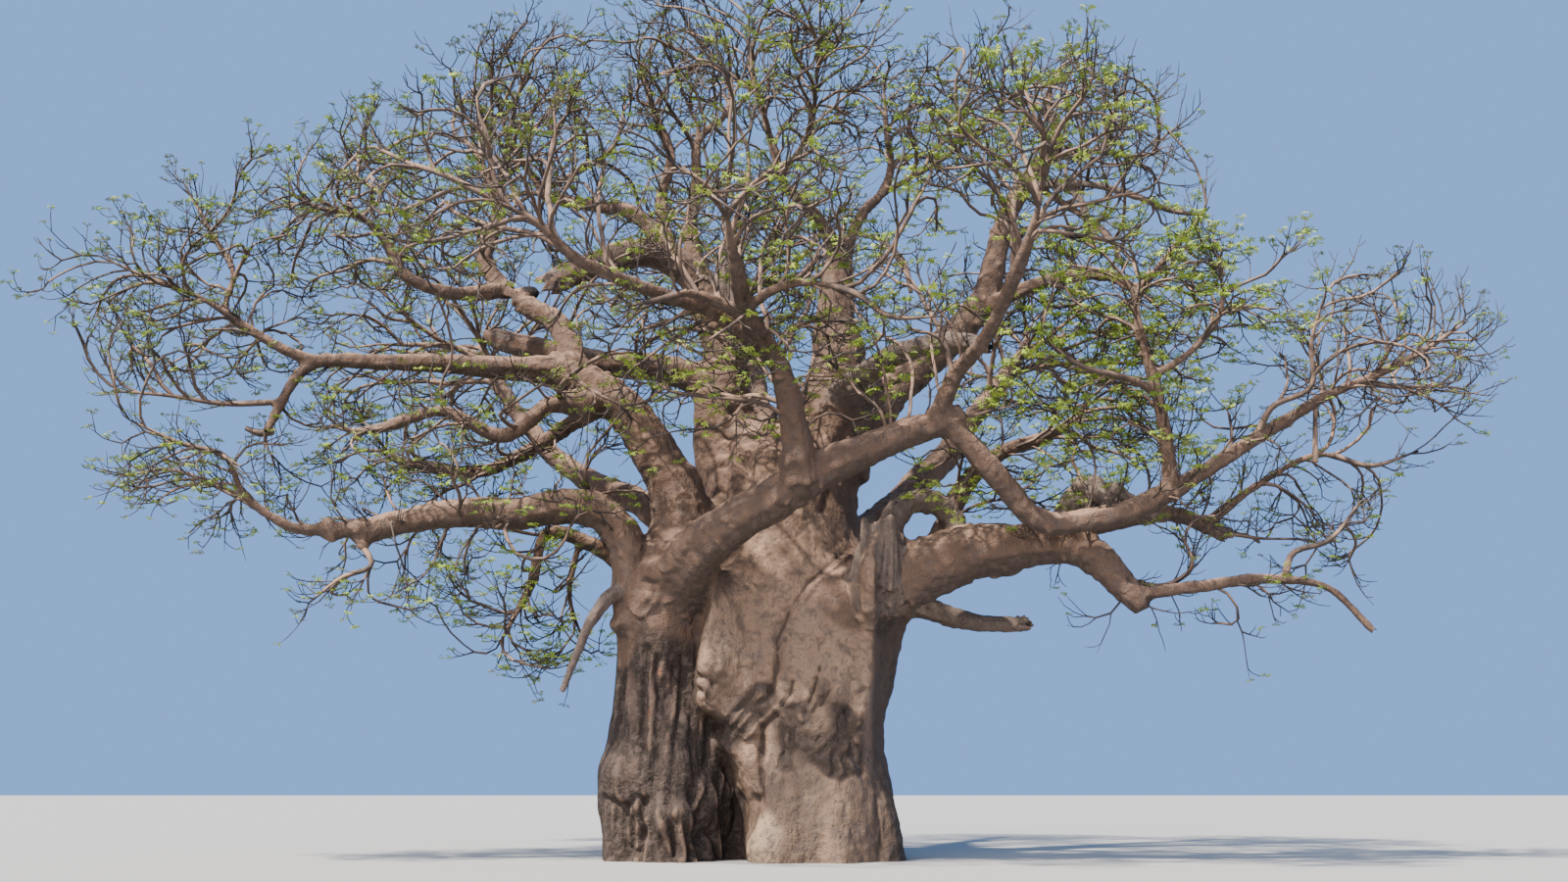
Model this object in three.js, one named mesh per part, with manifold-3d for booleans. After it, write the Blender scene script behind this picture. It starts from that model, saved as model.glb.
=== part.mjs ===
// A very large, old baobab in young spring leaf: one squat trunk grown together from two stems,
// limbs that reach out, drop and lift again, dead and broken limb ends, and an open crown.
// Lengths are written in metres and built in millimetres. +Z is up, +X runs along the wide side of
// the crown, and -Y is the open side, where the front limbs cross the trunk.
// The origin is the middle of the flat cut at ground level.
import * as THREE from "three";
import { mergeVertices } from "three/addons/utils/BufferGeometryUtils.js";
import Module from "manifold-3d";

const wasm = await Module();
wasm.setup();

// Driving dimensions
const METRE = 1000; // millimetres
const SEAT_GAP = 0.3; // millimetres left between a limb and the piece that carries it
const LOBE_GAP = 0.02; // metres left between two masses of leaves that meet
const THICK_LIMB = 0.9; // metres across at its foot, from which a limb has more sides
const THICK_SIDES = 8;
const THIN_SIDES = 6;
const LIMB_STEP = 2; // metres from one ring of a limb to the next
const LEAST_RINGS = 4;
const LIMB_TAPER = 0.8; // under 1, a limb loses most of its girth near its foot
const END_DOME = 0.45; // how far a limb's rounded end stands out, as a share of its radius there
const TRUNK_SIDES = 18;
const LARGE_LOBE = 4.3; // metres across on average, from which a mass has finer facets
const LARGE_DETAIL = 2;
const SMALL_DETAIL = 1;
const LOBE_BUMPS = 9;
const BUMP_HEIGHT = 0.5; // of the tallest bump, as a share of the mass's own radius
const LEAST_BUMP = 0.4; // of the smallest bump, as a share of the tallest
const UPWARD = 0.1; // how far the bumps favour the upper side
const BUMP_SHARPNESS = 9;
const UNEVENNESS = 0.09; // how far each corner strays in or out, as a share of the same radius
const UNDERSIDE = 0.7; // a mass of leaves is flatter below than above

// Colours of the living bark, the dead wood and the young leaves
const BARK = { color: 0x9a8373, roughness: 0.9, metalness: 0 };
const DEAD_WOOD = { color: 0x6b6058, roughness: 0.95, metalness: 0 };
const LEAVES = { color: 0x8fa457, roughness: 0.8, metalness: 0 };

// The two stems of the trunk, from the ground up: height, middle x and y, half width along x and y
const MAIN_STEM = [
  [0, 1.55, 0.1, 2, 2.4],
  [0.7, 1.5, 0.1, 1.85, 2.2],
  [2.2, 1.3, 0.1, 1.95, 2.1],
  [3.2, 1.15, 0.15, 2.05, 2.2],
  [4.2, 1, 0.2, 2.35, 2.3],
  [5.8, 1.15, 0.4, 2.5, 2.3],
  [6.9, 0.75, 0.6, 2.05, 2.1],
  [8, 0.55, 0.7, 1.85, 1.9],
  [9.4, 0.65, 0.9, 1.8, 1.6],
  [10.1, 0.6, 1, 1.1, 1],
];
const LEFT_STEM = [
  [0, -1.95, -0.3, 1.5, 1.9],
  [0.7, -1.95, -0.35, 1.55, 1.8],
  [1.8, -2, -0.4, 1.55, 1.7],
  [3, -2, -0.5, 1.3, 1.5],
  [4.2, -2.05, -0.6, 1.1, 1.4],
  [5.6, -1.9, -0.7, 1.3, 1.5],
  [6.8, -1.7, -0.7, 1.2, 1.3],
  [7.5, -1.6, -0.7, 0.7, 0.8],
];
// The broken snag that stands against the trunk: height, middle x and y, half width along x and y
const SNAG = [
  [5.2, 2.4, -1.4, 0.6, 0.6],
  [6.4, 2.6, -1.9, 0.45, 0.45],
  [7.5, 2.7, -2.2, 0.2, 0.2],
];
const MAIN_ROOTS = { count: 7, turn: 0.4, depth: 0.13 };
const LEFT_ROOTS = { count: 5, turn: 1.1, depth: 0.14 };
const NO_ROOTS = { count: 1, turn: 0, depth: 0 };
const ROOT_HEIGHT = 2.6; // metres over which the flutes of the root flare die out

// Limbs: what carries each one, its thickness at its foot and at its end, and the places that it
// passes, from its foot inside its carrier to its end, all in metres
const LIMBS = {
  bough_left_low: {
    on: "trunk",
    thick: [1.1, 0.5],
    path: [[-2.2, -0.7, 4.9], [-2.8, -1, 6.8], [-3.8, -1.4, 7.9], [-6.2, -1.9, 7.6], [-8.6, -2.4, 7.4],
      [-9.1, -2.6, 6.9]],
  },
  bough_left_low_tip: {
    on: "bough_left_low",
    thick: [0.36, 0.18],
    path: [[-8.6, -2.5, 7.2], [-10.2, -2.8, 7.2], [-10.8, -2.9, 7.6], [-11.2, -3, 8]],
  },
  bough_left_drooping: {
    on: "trunk",
    thick: [0.62, 0.24],
    path: [[-2.1, 0.5, 5.9], [-3.8, 0.7, 7.2], [-4.8, 0.4, 7.6], [-5.2, 0.2, 6.4]],
  },
  dead_limb_left_hanging: {
    on: "trunk",
    thick: [0.4, 0.16],
    path: [[-2.4, -1.3, 6.2], [-3.3, -1.9, 5.7], [-3.8, -2.1, 4.7], [-4.2, -2.2, 3.6]],
  },
  bough_left_big: {
    on: "trunk",
    thick: [1.5, 0.8],
    path: [[-1.4, -0.6, 6.2], [-1.8, -0.8, 8.3], [-2.5, -0.8, 9.5], [-3.6, -0.7, 10.7], [-4.9, -0.6, 11.3]],
  },
  bough_left_reach: {
    on: "bough_left_big",
    thick: [0.66, 0.2],
    path: [[-4.6, -0.6, 11.2], [-6.8, -1.2, 11.2], [-8.6, -1.8, 11.1], [-10.2, -2.2, 10.9],
      [-10.8, -2.4, 10], [-10.9, -2.4, 9.4]],
  },
  bough_far_left: {
    on: "bough_left_reach",
    thick: [0.34, 0.2],
    path: [[-9.4, -2, 11], [-10.6, -2.3, 11.3], [-11.9, -2.5, 12.1]],
  },
  bough_left_upper: {
    on: "bough_left_rise",
    thick: [0.42, 0.26],
    path: [[-6.1, 0.1, 13.3], [-7.4, -0.3, 13.2], [-8.3, -0.5, 13.5], [-8.8, -0.6, 14.3]],
  },
  bough_left_under: {
    on: "bough_left_big",
    thick: [0.52, 0.22],
    path: [[-3.3, -0.8, 10.4], [-4.6, -1.6, 10.2], [-6, -2.4, 9.2], [-6.8, -2.6, 9.8], [-8.4, -2.7, 9.4]],
  },
  bough_left_inner: {
    on: "bough_left_big",
    thick: [0.5, 0.26],
    path: [[-3.4, -0.5, 10.5], [-4.8, 0.5, 9.9], [-6.4, 1, 9.1], [-8, 1, 9.2]],
  },
  bough_left_hollow: {
    on: "bough_centre_left",
    thick: [0.8, 0.56],
    path: [[-0.9, 1.2, 11.2], [-2.4, 1.2, 11.7], [-4.2, 1.4, 11.9], [-6.5, 2, 12.6]],
  },
  bough_upper_left: {
    on: "bough_centre_left",
    thick: [1, 0.6],
    path: [[-0.9, 1.4, 12.6], [-1.3, 1.5, 13.7], [-2.4, 1.2, 14.6], [-4.1, 0.6, 14.1], [-5, 0.4, 13.6]],
  },
  bough_left_rise: {
    on: "bough_left_big",
    thick: [0.66, 0.34],
    path: [[-4.2, -0.5, 11.1], [-4.8, -0.1, 12.5], [-6.3, 0.2, 13.5], [-6.6, 0.3, 14.4], [-6.3, 0.5, 15.5]],
  },
  bough_upper_left_back: {
    on: "bough_upper_left",
    thick: [0.5, 0.32],
    path: [[-2.2, 1.3, 14.5], [-3, 2.3, 15.9], [-4.6, 2.8, 16.4], [-5.6, 3, 16.8]],
  },
  bough_top_left: {
    on: "bough_centre_left",
    thick: [0.56, 0.24],
    path: [[-0.9, 1.5, 13], [-1.7, 1.7, 14.9], [-1.6, 1.9, 15.9], [-1.5, 2.2, 18]],
  },
  bough_top_left_back: {
    on: "bough_upper_left",
    thick: [0.5, 0.26],
    path: [[-1.8, 1.4, 14.2], [-2.4, 2.4, 15.6], [-2.5, 3, 16.8], [-2.3, 3.2, 17.8]],
  },
  bough_centre_left: {
    on: "trunk",
    thick: [2, 0.9],
    path: [[-0.4, 1, 7.8], [-0.8, 1.2, 10], [-0.8, 1.2, 11.4], [-0.9, 1.4, 12.5], [-1, 1.5, 13.3]],
  },
  bough_centre_right: {
    on: "trunk",
    thick: [2.7, 0.5],
    path: [[1.7, 0.6, 7.8], [1.9, 0.6, 9.7], [2, 0.7, 11.2], [1.9, 0.9, 13], [2.1, 1.1, 14.9]],
  },
  bough_top_centre: {
    on: "bough_centre_right",
    thick: [0.4, 0.24],
    path: [[2.1, 1, 14.3], [1.4, 0.6, 15.5], [0.7, 0.3, 16], [0.4, 0.1, 16.9]],
  },
  bough_top_right_centre: {
    on: "bough_centre_right",
    thick: [0.36, 0.22],
    path: [[2.1, 1.1, 14.5], [2.7, 1.4, 15.8], [3.2, 1.7, 16.4], [3.4, 1.8, 17]],
  },
  bough_front_rise: {
    on: "bough_front_diagonal",
    thick: [0.74, 0.32],
    path: [[1.1, -3.9, 8], [0.9, -4.2, 9.2], [0.6, -4.6, 10.3], [0, -5.3, 11.1], [-0.3, -6.5, 12]],
  },
  bough_front_left: {
    on: "bough_front_rise",
    thick: [0.42, 0.26],
    path: [[0.3, -4.9, 10.7], [-0.9, -5.2, 11.5], [-2, -6, 11.6], [-3.5, -7.2, 12]],
  },
  bough_front_diagonal: {
    on: "trunk",
    thick: [1.4, 0.58],
    path: [[-2, -0.8, 5.4], [-1.4, -2.3, 6.5], [0.1, -3.4, 7.5], [2.3, -3.9, 8.7], [4.5, -4, 9.4]],
  },
  bough_front_right: {
    on: "bough_front_diagonal",
    thick: [0.4, 0.26],
    path: [[3.9, -4, 9.3], [4.3, -4.6, 10.2], [4.9, -5.8, 10.8], [5.5, -7.4, 12.2]],
  },
  bough_right_middle: {
    on: "bough_front_diagonal",
    thick: [0.56, 0.46],
    path: [[4.1, -4, 9.4], [4.9, -4, 9], [5.2, -3.8, 8], [5.9, -3.6, 7.3], [8.2, -3.2, 7.5], [9.2, -3, 8]],
  },
  bough_far_right: {
    on: "bough_right_middle",
    thick: [0.42, 0.26],
    path: [[8.9, -3.1, 7.8], [10.5, -2.8, 8.8], [11.8, -2.6, 9.6], [12.8, -2.5, 10.2]],
  },
  bough_right_rise: {
    on: "bough_right_middle",
    thick: [0.36, 0.24],
    path: [[9.1, -3.1, 7.9], [9, -3.3, 9.2], [8.8, -3.4, 10.2], [8.6, -3.4, 11]],
  },
  bough_right_broken: {
    on: "bough_right_low",
    thick: [0.54, 0.36],
    path: [[5.2, -1.9, 6.7], [6.4, -1.8, 7.1], [8.6, -1.4, 7.6], [10, -1, 7.7], [10.8, -0.8, 7.3]],
  },
  bough_right_low: {
    on: "trunk",
    thick: [2, 0.56],
    path: [[2.1, -0.8, 5.7], [4.2, -1.6, 6.5], [5.8, -2, 6.9], [7.2, -2.4, 6.7], [8.5, -2.7, 5.5]],
  },
  bough_right_low_tip: {
    on: "bough_right_low",
    thick: [0.36, 0.15],
    path: [[8.1, -2.6, 5.7], [9.7, -2.6, 5.9], [12.4, -2.6, 6], [12.9, -2.7, 5.1], [13.5, -2.7, 4.9]],
  },
  bough_right_rear: {
    on: "bough_right_low",
    thick: [0.66, 0.32],
    path: [[4.1, -1.5, 6.5], [4.5, -0.6, 7.7], [4.9, -0.2, 8.5], [5.7, 0, 9.3], [6.9, 0.3, 9.8]],
  },
  dead_arch_right: {
    on: "trunk",
    thick: [0.6, 0.5],
    path: [[2.1, -0.4, 7], [2.8, -0.8, 7.9], [3.6, -1.1, 8.1], [4.3, -1.2, 7.6], [4.5, -1.3, 6.8]],
  },
  dead_stub_right: {
    on: "trunk",
    thick: [0.7, 0.34],
    path: [[2.2, 0.4, 6.2], [4, 0.3, 5.7], [5, 0.1, 5.4], [6.3, 0, 5.3]],
  },
  bough_top_right: {
    on: "bough_centre_right",
    thick: [1.2, 0.42],
    path: [[2, 1.2, 9.8], [3.7, 1.9, 11.6], [4.9, 2.2, 12.7], [6, 2.4, 14.2], [6.4, 2.6, 16],
      [7.3, 2.4, 17.4]],
  },
  bough_top_right_side: {
    on: "bough_top_right",
    thick: [0.44, 0.22],
    path: [[5.6, 2.3, 13.4], [6.9, 1.6, 13.9], [8.1, 0.6, 13.9], [9, -1.2, 13.1]],
  },
  dead_limb_right_centre: {
    on: "bough_centre_right",
    thick: [0.66, 0.44],
    path: [[1.9, 0, 10.6], [2.9, -1.2, 11.3], [4, -1.9, 11.5], [5.2, -2.4, 11.4]],
  },
  bough_back_left: {
    on: "trunk",
    thick: [0.9, 0.36],
    path: [[-0.8, 1, 6.4], [-2.4, 2, 8.2], [-4.2, 3.6, 9.2], [-6, 5.6, 10.8], [-7.4, 7, 12.8]],
  },
  bough_back_centre: {
    on: "trunk",
    thick: [1.3, 0.42],
    path: [[0.6, 1.2, 7.4], [0.3, 3.2, 9.4], [-0.1, 5.4, 12], [-0.5, 8, 15.6]],
  },
  bough_back_right: {
    on: "trunk",
    thick: [1.2, 0.42],
    path: [[1.7, 1, 6.8], [3.3, 2.8, 8.3], [4.8, 4.6, 10], [7, 7, 13]],
  },
};

// Masses of leaves and twigs: middle and full size along x, y and z in metres, how far each one
// leans up towards the trunk and turns about the upright in degrees, and a number that picks its
// own bumps
const FOLIAGE = {
  foliage_far_left: {
    middle: [-12.6, -2.4, 12.2],
    size: [5.4, 6.6, 5],
    lean: -25,
    turn: 20,
    seed: 3,
  },
  foliage_left_upper: {
    middle: [-9.5, -0.6, 15.2],
    size: [5.6, 7.2, 5],
    lean: -35,
    turn: -15,
    seed: 6,
  },
  foliage_left_low: {
    middle: [-12.1, -3.2, 8],
    size: [4.2, 4.6, 2.6],
    lean: 10,
    turn: 10,
    seed: 8,
  },
  foliage_left_inner: {
    middle: [-8.3, -0.7, 9.2],
    size: [4, 6.8, 2.6],
    lean: 0,
    turn: 0,
    seed: 12,
  },
  foliage_hanging_left: {
    middle: [-5, 0, 5.7],
    size: [3.4, 3, 3],
    lean: 20,
    turn: 0,
    seed: 15,
  },
  foliage_top_left: {
    middle: [-5.9, 0.7, 18],
    size: [5, 7.8, 5.4],
    lean: -20,
    turn: 40,
    seed: 17,
  },
  foliage_top_centre_left: {
    middle: [-2.3, 2, 19.6],
    size: [4.6, 7.4, 5],
    lean: 0,
    turn: -30,
    seed: 21,
  },
  foliage_top_centre: {
    middle: [1.1, -1.3, 18.7],
    size: [4.6, 7.4, 4.8],
    lean: 0,
    turn: 15,
    seed: 26,
  },
  foliage_top_right_centre: {
    middle: [4.4, 1.4, 18.2],
    size: [4.2, 7, 4.2],
    lean: 0,
    turn: 60,
    seed: 28,
  },
  foliage_top_right: {
    middle: [8.4, 1.4, 18.2],
    size: [6.6, 7.4, 5.2],
    lean: 25,
    turn: -20,
    seed: 33,
  },
  foliage_right: {
    middle: [9.2, -2.8, 12.2],
    size: [6.6, 6.6, 3.8],
    lean: 10,
    turn: 0,
    seed: 37,
  },
  foliage_far_right: {
    middle: [14.1, -2.2, 11.1],
    size: [5.4, 6, 4.6],
    lean: 20,
    turn: 25,
    seed: 41,
  },
  foliage_right_low: {
    middle: [13, -0.6, 7.7],
    size: [5.2, 4.2, 3],
    lean: 0,
    turn: -10,
    seed: 44,
  },
  foliage_right_inner: {
    middle: [8.4, 1.2, 10.2],
    size: [4.2, 4.8, 3],
    lean: 0,
    turn: 35,
    seed: 47,
  },
  foliage_front_left: {
    middle: [-5.2, -7.6, 13.4],
    size: [6.6, 7.2, 4.4],
    lean: -15,
    turn: 45,
    seed: 50,
  },
  foliage_front_centre: {
    middle: [0, -7.9, 13.8],
    size: [5.2, 7.2, 4.4],
    lean: 0,
    turn: 0,
    seed: 54,
  },
  foliage_front_right: {
    middle: [5.5, -7.7, 13.4],
    size: [6, 7.2, 4.4],
    lean: 15,
    turn: -45,
    seed: 59,
  },
  foliage_back_left: {
    middle: [-8.4, 7.3, 13.8],
    size: [8.6, 8.6, 5.8],
    lean: -20,
    turn: 30,
    seed: 62,
  },
  foliage_back_centre: {
    middle: [-0.4, 8.4, 16.4],
    size: [8.4, 8.4, 5.8],
    lean: 0,
    turn: 0,
    seed: 66,
  },
  foliage_back_right: {
    middle: [8.2, 7.4, 14],
    size: [8.6, 8.6, 5.8],
    lean: 20,
    turn: -30,
    seed: 71,
  },
};

// A stream of numbers from 0 to 1 that is always the same for the same seed
function numbersFrom(seed) {
  const spread = 2654435761;
  const multiplier = 2246822519;
  const increment = 3266489917;
  let state = seed * spread;
  return () => {
    state = (Math.imul(state ^ (state >>> 15), multiplier) + increment) >>> 0;
    return state / 2 ** 32;
  };
}

// One closed surface through rings of the same number of points, with a point at each end
function loft(rings, firstPoint, lastPoint) {
  const sides = rings[0].length;
  const points = [firstPoint, ...rings.flat(), lastPoint];
  const last = points.length - 1;
  const faces = [];
  for (let side = 0; side < sides; side += 1) {
    const next = (side + 1) % sides;
    faces.push(0, 1 + next, 1 + side);
    for (let ring = 0; ring < rings.length - 1; ring += 1) {
      const low = 1 + ring * sides;
      const high = low + sides;
      faces.push(low + side, low + next, high + next);
      faces.push(low + side, high + next, high + side);
    }
    const top = 1 + (rings.length - 1) * sides;
    faces.push(top + side, top + next, last);
  }
  const geometry = new THREE.BufferGeometry().setFromPoints(points);
  geometry.setIndex(faces);
  return geometry;
}

// One stem of the trunk, level by level, with the flutes of its root flare
function stemGeometry(levels, roots) {
  const rings = levels.map(([height, x, y, halfX, halfY]) => {
    const fluting = roots.depth * Math.max(0, 1 - height / ROOT_HEIGHT) ** 2;
    const ring = [];
    for (let side = 0; side < TRUNK_SIDES; side += 1) {
      const angle = (side / TRUNK_SIDES) * 2 * Math.PI;
      const swell = 1 + fluting * Math.cos(roots.count * (angle - roots.turn));
      ring.push(
        new THREE.Vector3(
          x + halfX * swell * Math.cos(angle),
          y + halfY * swell * Math.sin(angle),
          height,
        ).multiplyScalar(METRE),
      );
    }
    return ring;
  });
  const middleOf = ([height, x, y]) =>
    new THREE.Vector3(x, y, height).multiplyScalar(METRE);
  return loft(rings, middleOf(levels[0]), middleOf(levels[levels.length - 1]));
}

// One limb: a tapering tube along a smooth curve, grown all round by a few tenths of a millimetre
// where its space is cut out of a neighbour
function limbGeometry({ thick, path }, grow) {
  const places = path.map((place) => new THREE.Vector3(...place));
  const curve = new THREE.CatmullRomCurve3(places, false, "centripetal");
  const sides = thick[0] < THICK_LIMB ? THIN_SIDES : THICK_SIDES;
  const steps = Math.max(LEAST_RINGS, Math.round(curve.getLength() / LIMB_STEP));
  const frames = curve.computeFrenetFrames(steps, false);
  const [footRadius, endRadius] = thick.map((across) => (across / 2) * METRE);
  const rings = [];
  for (let step = 0; step <= steps; step += 1) {
    const share = step / steps;
    const radius = THREE.MathUtils.lerp(footRadius, endRadius, share ** LIMB_TAPER) + grow;
    const middle = curve.getPointAt(share).multiplyScalar(METRE);
    if (step === 0) middle.addScaledVector(frames.tangents[0], -grow);
    const ring = [];
    for (let side = 0; side < sides; side += 1) {
      const angle = (side / sides) * 2 * Math.PI;
      ring.push(
        middle
          .clone()
          .addScaledVector(frames.normals[step], radius * Math.cos(angle))
          .addScaledVector(frames.binormals[step], radius * Math.sin(angle)),
      );
    }
    rings.push(ring);
  }
  const footMiddle = curve.getPointAt(0).multiplyScalar(METRE);
  const endMiddle = curve.getPointAt(1).multiplyScalar(METRE);
  return loft(
    rings,
    footMiddle.addScaledVector(frames.tangents[0], -grow),
    endMiddle.addScaledVector(frames.tangents[steps], endRadius * END_DOME + grow),
  );
}

// One mass of leaves: a ball pushed out into seeded bumps, flattened below, and brought to its size
function foliageGeometry({ middle, size, lean, turn, seed }, grow) {
  const draw = numbersFrom(seed);
  const bumps = Array.from({ length: LOBE_BUMPS }, () => {
    const aim = new THREE.Vector3(draw() - 0.5, draw() - 0.5, draw() - 0.5 + UPWARD);
    const height = BUMP_HEIGHT * THREE.MathUtils.lerp(LEAST_BUMP, 1, draw());
    return { aim: aim.normalize(), height };
  });
  const across = (size[0] + size[1] + size[2]) / 3;
  const detail = across < LARGE_LOBE ? SMALL_DETAIL : LARGE_DETAIL;
  const ball = mergedCorners(new THREE.IcosahedronGeometry(1, detail));
  const corners = ball.getAttribute("position");
  const corner = new THREE.Vector3();
  for (let index = 0; index < corners.count; index += 1) {
    corner.fromBufferAttribute(corners, index).normalize();
    const reach = bumps.reduce(
      (sum, { aim, height }) => sum + height * Math.max(0, corner.dot(aim)) ** BUMP_SHARPNESS,
      1,
    );
    corner.multiplyScalar(reach + UNEVENNESS * (2 * draw() - 1));
    if (corner.z < 0) corner.z *= UNDERSIDE;
    corners.setXYZ(index, corner.x, corner.y, corner.z);
  }
  ball.rotateY(THREE.MathUtils.degToRad(lean));
  ball.rotateZ(THREE.MathUtils.degToRad(turn));
  ball.computeBoundingBox();
  const found = ball.boundingBox.getSize(new THREE.Vector3());
  ball.center();
  const [alongX, alongY, alongZ] = size.map((extent) => (extent + 2 * grow) * METRE);
  ball.scale(alongX / found.x, alongY / found.y, alongZ / found.z);
  return ball.translate(...middle.map((value) => value * METRE));
}

// The same surface with its shared corners merged and nothing kept but their places
function mergedCorners(geometry) {
  geometry.deleteAttribute("normal");
  geometry.deleteAttribute("uv");
  return mergeVertices(geometry);
}

// The closed body of a geometry
function solidFrom(geometry) {
  const merged = mergedCorners(geometry);
  return new wasm.Manifold(
    new wasm.Mesh({
      numProp: 3,
      vertProperties: merged.getAttribute("position").array,
      triVerts: new Uint32Array(merged.index.array),
    }),
  );
}

// The largest body of a solid: a cut can leave a splinter beside it
function largestBody(solid) {
  const bodies = solid.decompose();
  return bodies.reduce((best, body) => (body.volume() > best.volume() ? body : best));
}

function meshFrom(name, solid, finish) {
  const { vertProperties, triVerts } = solid.getMesh();
  const geometry = new THREE.BufferGeometry();
  geometry.setAttribute("position", new THREE.BufferAttribute(vertProperties, 3));
  geometry.setIndex(new THREE.BufferAttribute(triVerts, 1));
  geometry.computeVertexNormals();
  const mesh = new THREE.Mesh(geometry, new THREE.MeshStandardMaterial(finish));
  mesh.name = name;
  return mesh;
}

// The trunk with a cut surface a little outside its own, for the limbs that sit on it
function trunkSolid(grow) {
  const widen = (levels) =>
    levels.map(([height, x, y, halfX, halfY]) => [
      height,
      x,
      y,
      halfX + grow / METRE,
      halfY + grow / METRE,
    ]);
  return solidFrom(stemGeometry(widen(MAIN_STEM), MAIN_ROOTS))
    .add(solidFrom(stemGeometry(widen(LEFT_STEM), LEFT_ROOTS)))
    .add(solidFrom(stemGeometry(widen(SNAG), NO_ROOTS)));
}

// A limb is cut by every limb listed before it in the order from the trunk outwards, so that each
// one sits on its carrier and none runs through another
function carriersFirst(names) {
  const depth = (name) => (name === "trunk" ? 0 : 1 + depth(LIMBS[name].on));
  return [...names].sort((one, other) => depth(one) - depth(other));
}

function build() {
  const tree = new THREE.Group();
  const spaces = [trunkSolid(SEAT_GAP)];
  tree.add(meshFrom("trunk", trunkSolid(0), BARK));
  for (const name of carriersFirst(Object.keys(LIMBS))) {
    let limb = solidFrom(limbGeometry(LIMBS[name], 0));
    for (const space of spaces) limb = limb.subtract(space);
    const finish = name.startsWith("dead") ? DEAD_WOOD : BARK;
    tree.add(meshFrom(name, largestBody(limb), finish));
    spaces.push(solidFrom(limbGeometry(LIMBS[name], SEAT_GAP)));
  }
  let taken = spaces.reduce((all, space) => all.add(space));
  for (const [name, lobe] of Object.entries(FOLIAGE)) {
    const mass = largestBody(solidFrom(foliageGeometry(lobe, 0)).subtract(taken));
    tree.add(meshFrom(name, mass, LEAVES));
    taken = taken.add(solidFrom(foliageGeometry(lobe, LOBE_GAP)));
  }
  return tree;
}

export default build();
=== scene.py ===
# A very old baobab in young spring leaf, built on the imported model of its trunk, boughs and masses.
# All lengths are in metres in the tree's own frame: +Z is up, +X runs along the wide side of the
# crown, and -Y is the side that the camera sees.
import itertools
import math

import bmesh
import bpy
import numpy as np
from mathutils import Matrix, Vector
from mathutils.bvhtree import BVHTree
from mathutils.kdtree import KDTree


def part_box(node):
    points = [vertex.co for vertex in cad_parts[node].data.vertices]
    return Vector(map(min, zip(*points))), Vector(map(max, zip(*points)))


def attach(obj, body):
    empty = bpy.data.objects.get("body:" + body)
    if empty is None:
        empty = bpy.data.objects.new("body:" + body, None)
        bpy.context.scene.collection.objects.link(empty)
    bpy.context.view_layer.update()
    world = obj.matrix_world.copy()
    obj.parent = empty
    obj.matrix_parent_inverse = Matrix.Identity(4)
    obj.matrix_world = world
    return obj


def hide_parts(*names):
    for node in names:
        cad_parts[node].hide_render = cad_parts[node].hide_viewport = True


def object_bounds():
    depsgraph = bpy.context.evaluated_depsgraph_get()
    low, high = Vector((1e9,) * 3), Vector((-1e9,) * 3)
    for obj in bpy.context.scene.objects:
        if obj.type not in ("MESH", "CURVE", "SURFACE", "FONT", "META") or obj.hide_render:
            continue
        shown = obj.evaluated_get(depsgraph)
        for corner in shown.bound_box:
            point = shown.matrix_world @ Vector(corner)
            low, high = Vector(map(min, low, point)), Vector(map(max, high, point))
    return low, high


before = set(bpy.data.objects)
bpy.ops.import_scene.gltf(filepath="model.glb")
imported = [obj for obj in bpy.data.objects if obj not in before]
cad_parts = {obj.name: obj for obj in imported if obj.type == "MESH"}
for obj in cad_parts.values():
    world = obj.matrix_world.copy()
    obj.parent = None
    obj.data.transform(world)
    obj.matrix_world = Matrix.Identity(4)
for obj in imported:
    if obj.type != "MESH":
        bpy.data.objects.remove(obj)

cad_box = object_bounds()
SEED = 11
UP = np.array([0.0, 0.0, 1.0])

# Camera: near eye height, a little right of the trunk, tilted up
CAMERA_PLACE = (0.67, -42.0, 1.7)
CAMERA_TILT = math.radians(10.7)
SENSOR_WIDTH = 36.0  # millimetres
FOCAL_LENGTH = 41.47  # millimetres

# Wood
WOOD_VOXEL = 0.045  # size of the cells of the bark's mesh
TUBE_SIDES = 20
TUBE_STEP = 0.18  # from one ring of a limb to the next
FOOT_FLARE = 0.32  # how much wider a limb gets at its foot, as a share of its radius
FLARE_LENGTH = 1.1  # how far the flare reaches, in radii of the foot
WANDER = 0.22  # how far a limb's middle line strays, in radii
WANDER_LENGTH = 1.5  # from one bend of that line to the next
WANDER_LAYER = 40  # number of the noise that it follows
WIDEST_WANDER = 0.35  # radius from which a limb strays no further
STEADY_FOOT = 1.5  # how far from its foot a limb strays less
STEADY_END = 0.8
MERGE_SIZE = 0.0005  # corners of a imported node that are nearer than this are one
MOST_UNEVEN = 0.02  # of the radii of a packed ring
PACKED_SIDES = (6, 8)
SUNK_FOOT = 0.9  # how far a limb's line runs on into what carries it, in radii of the foot
ANY_WAY = (0.31, 0.87, 0.38)  # a direction that no limb starts in
SMOOTHING_ROUNDS = 5
SMOOTHING_SHARE = 0.5  # how far each round moves a point towards its neighbours' middle
SUNK_ROUNDS = 12  # rounds of smoothing that tell how far a point is sunk
BOUGHS_LEFT_OF = -2  # limbs that end beyond these belong to the left or right boughs
BOUGHS_RIGHT_OF = 5
HIGH_BOUGHS = 12.2
TRUNK_VOXEL = 0.1
TRUNK_ROUNDING = 40  # rounds of smoothing that take the facets off the trunk
TRUNK_SMOOTHING = 0.6  # how far each of them moves a point
LAST_SMOOTHING = 0.4  # and how far the round after the relief does
FORK_ROUNDING = 34  # and that blend the limbs' feet at the top of the trunk
FOOT_RINGS = 12  # rings of a limb that count as its foot
LEAST_FOOT = 0.3  # radius of a foot that has a seat in the trunk
FOOT_TOP = 3.5  # height up to which the bark's skin belongs to the foot's piece
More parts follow.
